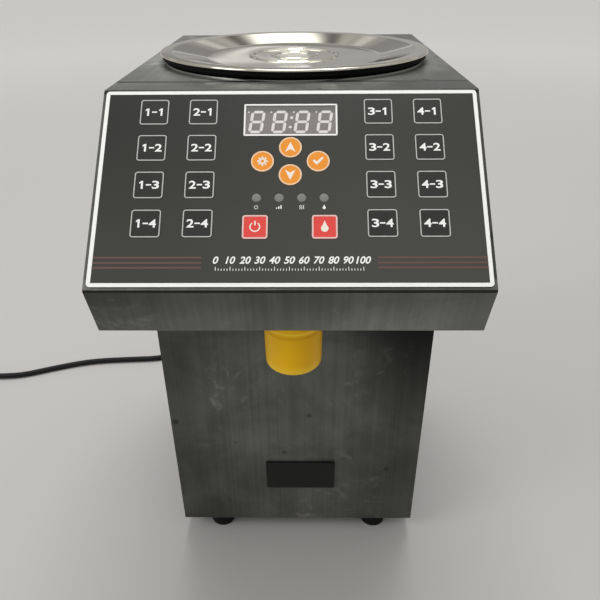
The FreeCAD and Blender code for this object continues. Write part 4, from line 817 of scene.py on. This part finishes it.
def lettering(text, height, centre, width=None, slant=0.0):
    """A bmesh of flat letters, fitted to a height, and to a width where one is given."""
    curve = bpy.data.curves.new("lettering", "FONT")
    curve.body = text
    curve.extrude = 0.5
    curve.offset = 0.02
    curve.shear = slant
    curve.resolution_u = 5
    holder = bpy.data.objects.new("lettering", curve)
    flat = bpy.data.meshes.new_from_object(holder)
    bm = bmesh.new()
    bm.from_mesh(flat)
    bpy.data.objects.remove(holder)
    bpy.data.curves.remove(curve)
    bpy.data.meshes.remove(flat)
    low = Vector([min(v.co[axis] for v in bm.verts) for axis in range(3)])
    high = Vector([max(v.co[axis] for v in bm.verts) for axis in range(3)])
    size = high - low
    scale_y = height / size.y
    scale_x = width / size.x if width else scale_y
    bmesh.ops.translate(bm, verts=bm.verts, vec=-(low + high) / 2)
    bmesh.ops.scale(bm, verts=bm.verts, vec=(scale_x, scale_y, ink_height / size.z))
    bmesh.ops.translate(bm, verts=bm.verts, vec=(*centre, ink_height / 2))
    bmesh.ops.remove_doubles(bm, verts=bm.verts, dist=1e-6)
    return bm


def joined(target, source):
    """Moves one bmesh's geometry into another."""
    holder = bpy.data.meshes.new("holder")
    source.to_mesh(holder)
    source.free()
    target.from_mesh(holder)
    bpy.data.meshes.remove(holder)


scale_mesh = bmesh.new()
for step in range(11):
    x = (step - 5) * scale_step
    joined(scale_mesh, lettering(str(step * 10), scale_number_height, (x, -scale_row), slant=0.25))
for step in range(51):
    x = (step - 25) * scale_step / 5
    tick = short_tick if step % 5 else long_tick
    rounded_plate(scale_mesh, (x, tick / 2 - tick_foot), tick_width, tick, 0.0001)
printed("overlay_scale", scale_mesh, "dispenser", white_ink)


# -------------------------------------------------------------------- dose keys
# Sixteen sprung caps of the same film, slightly glossier, set flush in their
# windows. Each has a thin pale outline and its dose number printed on it.
key_size = 0.0164
key_corner = 0.0016
outline_line = 0.00065
figure_height = 0.0049
figure_width = 0.0040
figure_step = 0.0039         # between the dash and either figure
dash = (0.0030, 0.00085)

dose_film = mottled("dose_key_film", ((0.012, 0.0125, 0.011), (0.018, 0.0185, 0.016)), (60.0, 2.0),
                    roughness=0.34, spread=0.08)


def panel_spot(name):
    """A key's centre on the panel, as X across and Y up the slope from the brow."""
    spot = panel_place.inverted() @ centre_of(name)
    return spot.x, spot.y


def flat_shape(points, centre, scale, low=0.0, high=ink_height):
    """A bmesh plate from the corners of a flat sign, which are shares of its scale."""
    bm = bmesh.new()
    corners = [bm.verts.new((centre[0] + x * scale, centre[1] + y * scale, low)) for x, y in points]
    thickened(bm, [bm.faces.new(corners)], high - low)
    return bm


def figure(text, centre):
    """One figure of a dose number; the 1 is a plain stroke with a flag."""
    if text == "1":
        return flat_shape([(-0.07, -0.5), (0.15, -0.5), (0.15, 0.5), (-0.03, 0.5), (-0.27, 0.33),
                           (-0.27, 0.13), (-0.07, 0.26)], centre, figure_height)
    return lettering(text, figure_height, centre, figure_width)


for column in range(1, 5):
    for row in range(1, 5):
        key = f"dose_key_{column}_{row}"
        spot = panel_spot(key)
        dressed(dose_film, key)
        outline_mesh = bmesh.new()
        rounded_plate(outline_mesh, spot, key_size, key_size, key_corner, outline_line)
        printed(f"dose_outline_{column}_{row}", outline_mesh, key, grey_ink)
        number_mesh = figure(str(column), (spot[0] - figure_step, spot[1]))
        joined(number_mesh, figure(str(row), (spot[0] + figure_step, spot[1])))
        rounded_plate(number_mesh, spot, *dash, 0.0001)
        printed(f"dose_number_{column}_{row}", number_mesh, key, white_ink)


# ----------------------------------------------------------- round and red keys
# Four orange round keys and two red square ones, printed film caps like the dose
# keys. White signs: arrows, a wheel for settings, a tick to store, the common
# power sign and a drop for the syrup's outlet.
round_radius = 0.0065
red_key_size = 0.0140
rim_line = 0.0009
sign_size = 0.0060
wheel_radii = (0.0021, 0.0010)
wheel_teeth = 8
tooth_spot = (0.0023, 0.0)
tooth_size = (0.0014, 0.0010)
power_radii = (0.0030, 0.0023)
power_arc = (125.0, 415.0)           # the ring's start and end in degrees
power_bar = (0.0008, 0.0026)
power_bar_rise = 0.0022
drop_arc = (-232, 284)               # the belly's start and sweep in degrees
drop_belly = 0.34                    # its radius, as a share of the sign's size
drop_shift = 0.16
drop_tip = 0.62


def key_film(name, colour):
    """Film printed in one colour all over, very slightly uneven."""
    return mottled(name, (colour, tuple(c * 0.92 for c in colour)), (90.0, 2.0),
                   roughness=0.36, spread=0.08, Specular_IOR_Level=0.2)


round_keys = ("key_up", "key_down", "key_set", "key_save")
red_keys = ("key_power", "key_output")
orange_film = key_film("orange_key_film", (0.93, 0.335, 0.038))
red_film = key_film("red_key_film", (0.815, 0.083, 0.070))
orange_rim_ink = ink("orange_rim_ink", (0.92, 0.63, 0.40))
red_rim_ink = ink("red_rim_ink", (0.84, 0.57, 0.53))
cream_ink = ink("cream_ink", (0.95, 0.87, 0.78))
dressed(orange_film, *round_keys)
dressed(red_film, *red_keys)


def ring_shape(centre, outer, inner, start=0.0, end=360.0, steps=48, low=0.0, high=ink_height):
    """A bmesh ring, or part of one, from a short edge spun about the centre."""
    bm = bmesh.new()
    turn = math.radians(start)
    first = [bm.verts.new((centre[0] + radius * math.cos(turn), centre[1] + radius * math.sin(turn), low))
             for radius in (inner, outer)]
    edge = bm.edges.new(first)
    full = abs(end - start - 360.0) < 0.01
    bmesh.ops.spin(bm, geom=first + [edge], cent=(*centre, low), axis=(0, 0, 1), dvec=(0, 0, 0),
                   angle=math.radians(end - start), steps=steps, use_merge=full, use_duplicate=False)
    thickened(bm, bm.faces[:], high - low)
    return bm


def up_sign(centre, size=sign_size):
    """An arrow head with a notched foot."""
    return flat_shape([(0.0, 0.56), (0.50, -0.50), (0.0, -0.20), (-0.50, -0.50)], centre, size)


def down_sign(centre):
    """The same arrow head turned over."""
    return up_sign(centre, -sign_size)


def wheel_sign(centre):
    """A small gear wheel."""
    sign = ring_shape(centre, *wheel_radii)
    for tooth in range(wheel_teeth):
        turn = tooth * 2 * math.pi / wheel_teeth
        block = bmesh.new()
        rounded_plate(block, tooth_spot, *tooth_size, 0.0001)
        bmesh.ops.rotate(block, verts=block.verts, cent=(0, 0, 0), matrix=Matrix.Rotation(turn, 3, "Z"))
        bmesh.ops.translate(block, verts=block.verts, vec=(*centre, 0.0))
        joined(sign, block)
    return sign


def tick_sign(centre):
    """A plain tick."""
    return flat_shape([(-0.52, 0.02), (-0.36, 0.18), (-0.14, -0.06), (0.38, 0.46), (0.54, 0.30),
                       (-0.14, -0.40)], centre, sign_size)


def power_sign(centre, scale=1.0):
    """An open ring with a bar in its gap."""
    sign = ring_shape(centre, *[radius * scale for radius in power_radii], *power_arc, 36)
    bar = bmesh.new()
    rounded_plate(bar, (centre[0], centre[1] + power_bar_rise * scale), *[size * scale for size in power_bar],
                  0.0001 * scale)
    joined(sign, bar)
    return sign


def drop_sign(centre, scale=1.0):
    """Round below, drawn out to a point above."""
    start, sweep = drop_arc
    outline = []
    for step in range(33):
        turn = math.radians(start + step * sweep / 32)
        outline.append((drop_belly * math.cos(turn), drop_belly * math.sin(turn) - drop_shift))
    outline.append((0.0, drop_tip))
    return flat_shape(outline, centre, sign_size * scale)


def rim(key, shape, finish):
    """The thin pale line round a key's edge."""
    printed(key.replace("key_", "rim_"), shape, key, finish)


for key in round_keys:
    rim(key, ring_shape(panel_spot(key), round_radius, round_radius - rim_line, steps=72), orange_rim_ink)
for key in red_keys:
    square = bmesh.new()
    rounded_plate(square, panel_spot(key), red_key_size, red_key_size, key_corner, rim_line)
    rim(key, square, red_rim_ink)
for key, sign, draw in zip(round_keys + red_keys, ("up", "down", "wheel", "tick", "power", "drop"),
                           (up_sign, down_sign, wheel_sign, tick_sign, power_sign, drop_sign)):
    printed("sign_" + sign, draw(panel_spot(key)), key, cream_ink)


# -------------------------------------------------------------- indicator lamps
# Four clear grey lamps in a row, each with a small white sign under it: power,
# low level, warmth and outlet.
lamp_xs = (-0.0186, -0.0061, 0.0064, 0.0188)
lamp_sign_row = 0.0762
level_bar = 0.0007           # width of the three bars, and the height of the lowest
level_pitch = 0.0012
wave_pitch = 0.0010
lamp_power_scale = 0.38
lamp_drop_scale = 0.42

dressed(mottled("lamp_lens", ((0.19, 0.19, 0.18), (0.25, 0.25, 0.238)), (900.0, 1.0),
                roughness=0.18, spread=0.1), "indicator_lamps")

wave_outline = [(-0.06, -0.20), (0.02, -0.07), (-0.06, 0.06), (0.02, 0.20),
                (0.08, 0.20), (0.0, 0.06), (0.08, -0.07), (0.0, -0.20)]
power_x, level_x, warmth_x, outlet_x = lamp_xs
lamp_signs = bmesh.new()
joined(lamp_signs, power_sign((power_x, -lamp_sign_row), lamp_power_scale))
for step in range(3):
    bar = level_bar * (step + 1)
    rounded_plate(lamp_signs, (level_x + (step - 1) * level_pitch, bar / 2 - lamp_sign_row - 0.0010),
                  level_bar, bar, 0.00008)
for step in range(3):
    wave_x = warmth_x + (step - 1) * wave_pitch
    joined(lamp_signs, flat_shape(wave_outline, (wave_x, -lamp_sign_row), sign_size))
joined(lamp_signs, drop_sign((outlet_x, -lamp_sign_row), lamp_drop_scale))
printed("lamp_signs", lamp_signs, "dispenser", white_ink)


# ---------------------------------------------------------------------- display
# A four-digit module behind a smoked grey window with a white printed frame. Its
# slanted segments show pale; a colon parts the digits and each has a point.
display_width = 0.0518
display_height = 0.0189
display_row = 0.0211
frame_line = 0.0010
window_drop = 0.00022        # the window's face, below the film's
window_thickness = 0.00008
window_top_shade = (0.4142, 0.4170)
digit_xs = (-0.0194, -0.0064, 0.0066, 0.0196)
digit_row = 0.0224
digit_height = 0.0148
digit_width = 0.0082
segment = 0.0017
segment_gap = 0.00024
digit_slant = math.radians(7.5)
point_radius = 0.00055
point_shift = (-0.0024, -0.0001)     # from the top of a digit's left post
colon_radius = 0.0009
colon_spots = ((0.0006, -0.0196), (-0.0002, -0.0258))
dot_hole = 0.0001

dressed(mottled("display_module", ((0.060, 0.055, 0.052), (0.080, 0.074, 0.070)), (200.0, 2.0),
                roughness=0.35), "display_module")

window_finish = Finish("display_window")
window_cloud = window_finish.noise(40.0, detail=3.0)
window_grid = window_finish.noise(1500.0, detail=1.0)
# Painted shadow of the frame: the window is darker along its top edge.
window_frame_shadow = window_finish.ramp(window_finish.axis("Z"), *window_top_shade)
window_paint = window_finish.mix(window_cloud * 0.4 + window_grid * 0.6,
                                 (0.195, 0.180, 0.175), (0.270, 0.252, 0.245))
window_mesh = bmesh.new()
rounded_plate(window_mesh, (0.0, -display_row), display_width, display_height, 0.0006,
              low=-window_drop - window_thickness, high=-window_drop)
window = printed("display_window", window_mesh, "dispenser", window_finish.surface(
    Base_Color=window_finish.mix(window_frame_shadow * 0.6, window_paint, (0.120, 0.125, 0.112)),
    Roughness=0.25 + window_cloud * 0.1))

frame_mesh = bmesh.new()
rounded_plate(frame_mesh, (0.0, -display_row), display_width + 2 * frame_line,
              display_height + 2 * frame_line, 0.0004, frame_line)
printed("display_frame", frame_mesh, "dispenser", white_ink)


def segment_outline(length, upright=False):
    """Corners of a lit bar with pointed ends, as shares of its length."""
    tip = segment / 2 / length
    corners = [(-0.5, 0.0), (tip - 0.5, tip), (0.5 - tip, tip),
               (0.5, 0.0), (0.5 - tip, -tip), (tip - 0.5, -tip)]
    return [(y, -x) for x, y in corners] if upright else corners


pale_segment = mottled("pale_segment", ((0.80, 0.78, 0.76), (0.70, 0.68, 0.66)), (300.0, 2.0), roughness=0.4)
reach_x = (digit_width - segment) / 2
reach_y = (digit_height - segment) / 2
bar_length = digit_width - segment - 2 * segment_gap
post_length = reach_y - 2 * segment_gap
segment_level = {"low": -window_drop, "high": ink_height - window_drop}
lean = Matrix.Identity(4)
lean[0][1] = math.tan(digit_slant)
digits = bmesh.new()
for digit_x in digit_xs:
    strokes = bmesh.new()
    for row in (-1, 0, 1):
        joined(strokes, flat_shape(segment_outline(bar_length), (0.0, row * reach_y), bar_length,
                                   **segment_level))
    for side in (-1, 1):
        for row in (-0.5, 0.5):
            joined(strokes, flat_shape(segment_outline(post_length, upright=True),
                                       (side * reach_x, row * reach_y), post_length, **segment_level))
    joined(strokes, ring_shape((point_shift[0] - reach_x, point_shift[1] + reach_y), point_radius, dot_hole,
                               steps=16, **segment_level))
    bmesh.ops.transform(strokes, matrix=lean, verts=strokes.verts)
    bmesh.ops.translate(strokes, verts=strokes.verts, vec=(digit_x, -digit_row, 0.0))
    joined(digits, strokes)
for spot in colon_spots:
    joined(digits, ring_shape(spot, colon_radius, dot_hole, steps=20, **segment_level))
segments = printed("display_segments", digits, "dispenser", pale_segment)


# ------------------------------------------------------------------- bare plate
# A small black moulded plate with softened edges, bonded low on the front panel
# and left without words.
plate_centre_x = 0.0032
plate_width = 0.0628
plate_low = 0.0618
plate_high = 0.0934
plate_thickness = 0.0028
front_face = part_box("front_panel")[0].y

plate_black = mottled("plate_black", ((0.006, 0.006, 0.0055), (0.010, 0.010, 0.009)), (35.0, 3.0),
                      roughness=0.50, spread=0.1, grain=(1200.0, 2.0), relief=(0.00005, 0.4),
                      Specular_IOR_Level=0.30)
plate_mesh = bmesh.new()
box_mesh(plate_mesh, (plate_centre_x, front_face - plate_thickness / 2, (plate_low + plate_high) / 2),
         (plate_width, plate_thickness, plate_high - plate_low), 0.0006, 3)
plate = piece_from("bare_plate", plate_mesh, "dispenser", plate_black)


# ---------------------------------------------------------------- rear fittings
# Black moulded gland with its ribbed strain relief, a snap-in switch housing with
# a glossy black rocker that tips on its pin, and the switches behind the keys.
dressed(mottled("fitting_plastic", ((0.012, 0.012, 0.012), (0.022, 0.022, 0.021)), (70.0, 2.0),
                roughness=0.42, spread=0.12, grain=(1300.0, 2.0), relief=(0.00006, 0.4)),
        "cable_gland", "switch_housing", "tact_switches")
dressed(mottled("rocker_gloss", ((0.010, 0.010, 0.010), (0.016, 0.016, 0.016)), (90.0, 2.0),
                roughness=0.16, spread=0.08, grain=(400.0, 2.0)), "power_rocker")


# ------------------------------------------------------------ heater and sensor
# A plain steel band heater drawn round the foot of the tank, and a stainless
# stem with an off-white float that rises with the syrup.
def plain_steel(name, colour, roughness):
    """Unpolished metal with a soft cloudy surface."""
    finish = Finish(name)
    cloud = finish.noise(55.0, detail=4.0)
    grain = finish.noise(700.0, detail=2.0)
    return finish.surface(Base_Color=finish.mix(cloud, colour, tuple(c * 0.8 for c in colour)), Metallic=1.0,
                          Roughness=roughness + cloud * 0.12, Normal=finish.bump(grain, 0.00008, 0.3))


dressed(plain_steel("band_steel", (0.44, 0.43, 0.41), 0.34), "heater_band")
dressed(polished_steel("stem_steel", (0.70, 0.69, 0.66), 0.18), "level_sensor")
dressed(mottled("float_plastic", ((0.78, 0.77, 0.71), (0.70, 0.69, 0.63)), (500.0, 2.0),
                roughness=0.45, relief=(0.0001, 0.3)), "level_float")


# -------------------------------------------------------------------- gear pump
# Machined steel body and cover round two ground gears, on a bent steel bracket,
# with a black enamelled gear motor behind.
dressed(plain_steel("machined_steel", (0.56, 0.55, 0.53), 0.26), "pump_body", "pump_cover")
dressed(polished_steel("ground_steel", (0.66, 0.66, 0.65), 0.15), "drive_gear", "idler_gear")
dressed(plain_steel("bracket_steel", (0.42, 0.42, 0.41), 0.36), "pump_bracket")
dressed(mottled("motor_enamel", ((0.020, 0.020, 0.020), (0.030, 0.030, 0.030)), (30.0, 2.0),
                roughness=0.30, grain=(380.0, 1.0), relief=(0.0002, 0.3)), "pump_motor")


# ------------------------------------------------------------------------ hoses
# Clear food-grade silicone, milky where it is bent, pushed on the spigots.
dressed(mottled("milky_silicone", ((0.74, 0.73, 0.68), (0.60, 0.59, 0.54)), (120.0, 3.0),
                roughness=0.34, spread=0.1, Subsurface_Weight=0.25), "suction_hose", "delivery_hose")


# ------------------------------------------------------------------ electronics
# The green control board behind the keys and the folded aluminium case of the
# power supply on the base plate.
board_finish = Finish("solder_mask")
board_traces = board_finish.node("ShaderNodeTexBrick", {"offset": 0.5}, {
    "Vector": board_finish.place((60.0, 60.0, 60.0)), "Scale": 1.0, "Mortar Size": 0.06,
    "Color1": (0.0, 0.0, 0.0, 1.0), "Color2": (0.0, 0.0, 0.0, 1.0), "Mortar": (1.0, 1.0, 1.0, 1.0)})
dressed(board_finish.surface(
    Base_Color=board_finish.mix(board_traces, (0.012, 0.075, 0.028), (0.030, 0.130, 0.055)),
    Roughness=0.30 + board_finish.noise(300.0) * 0.15), "control_board")
dressed(plain_steel("case_aluminium", (0.62, 0.62, 0.62), 0.32), "power_supply")
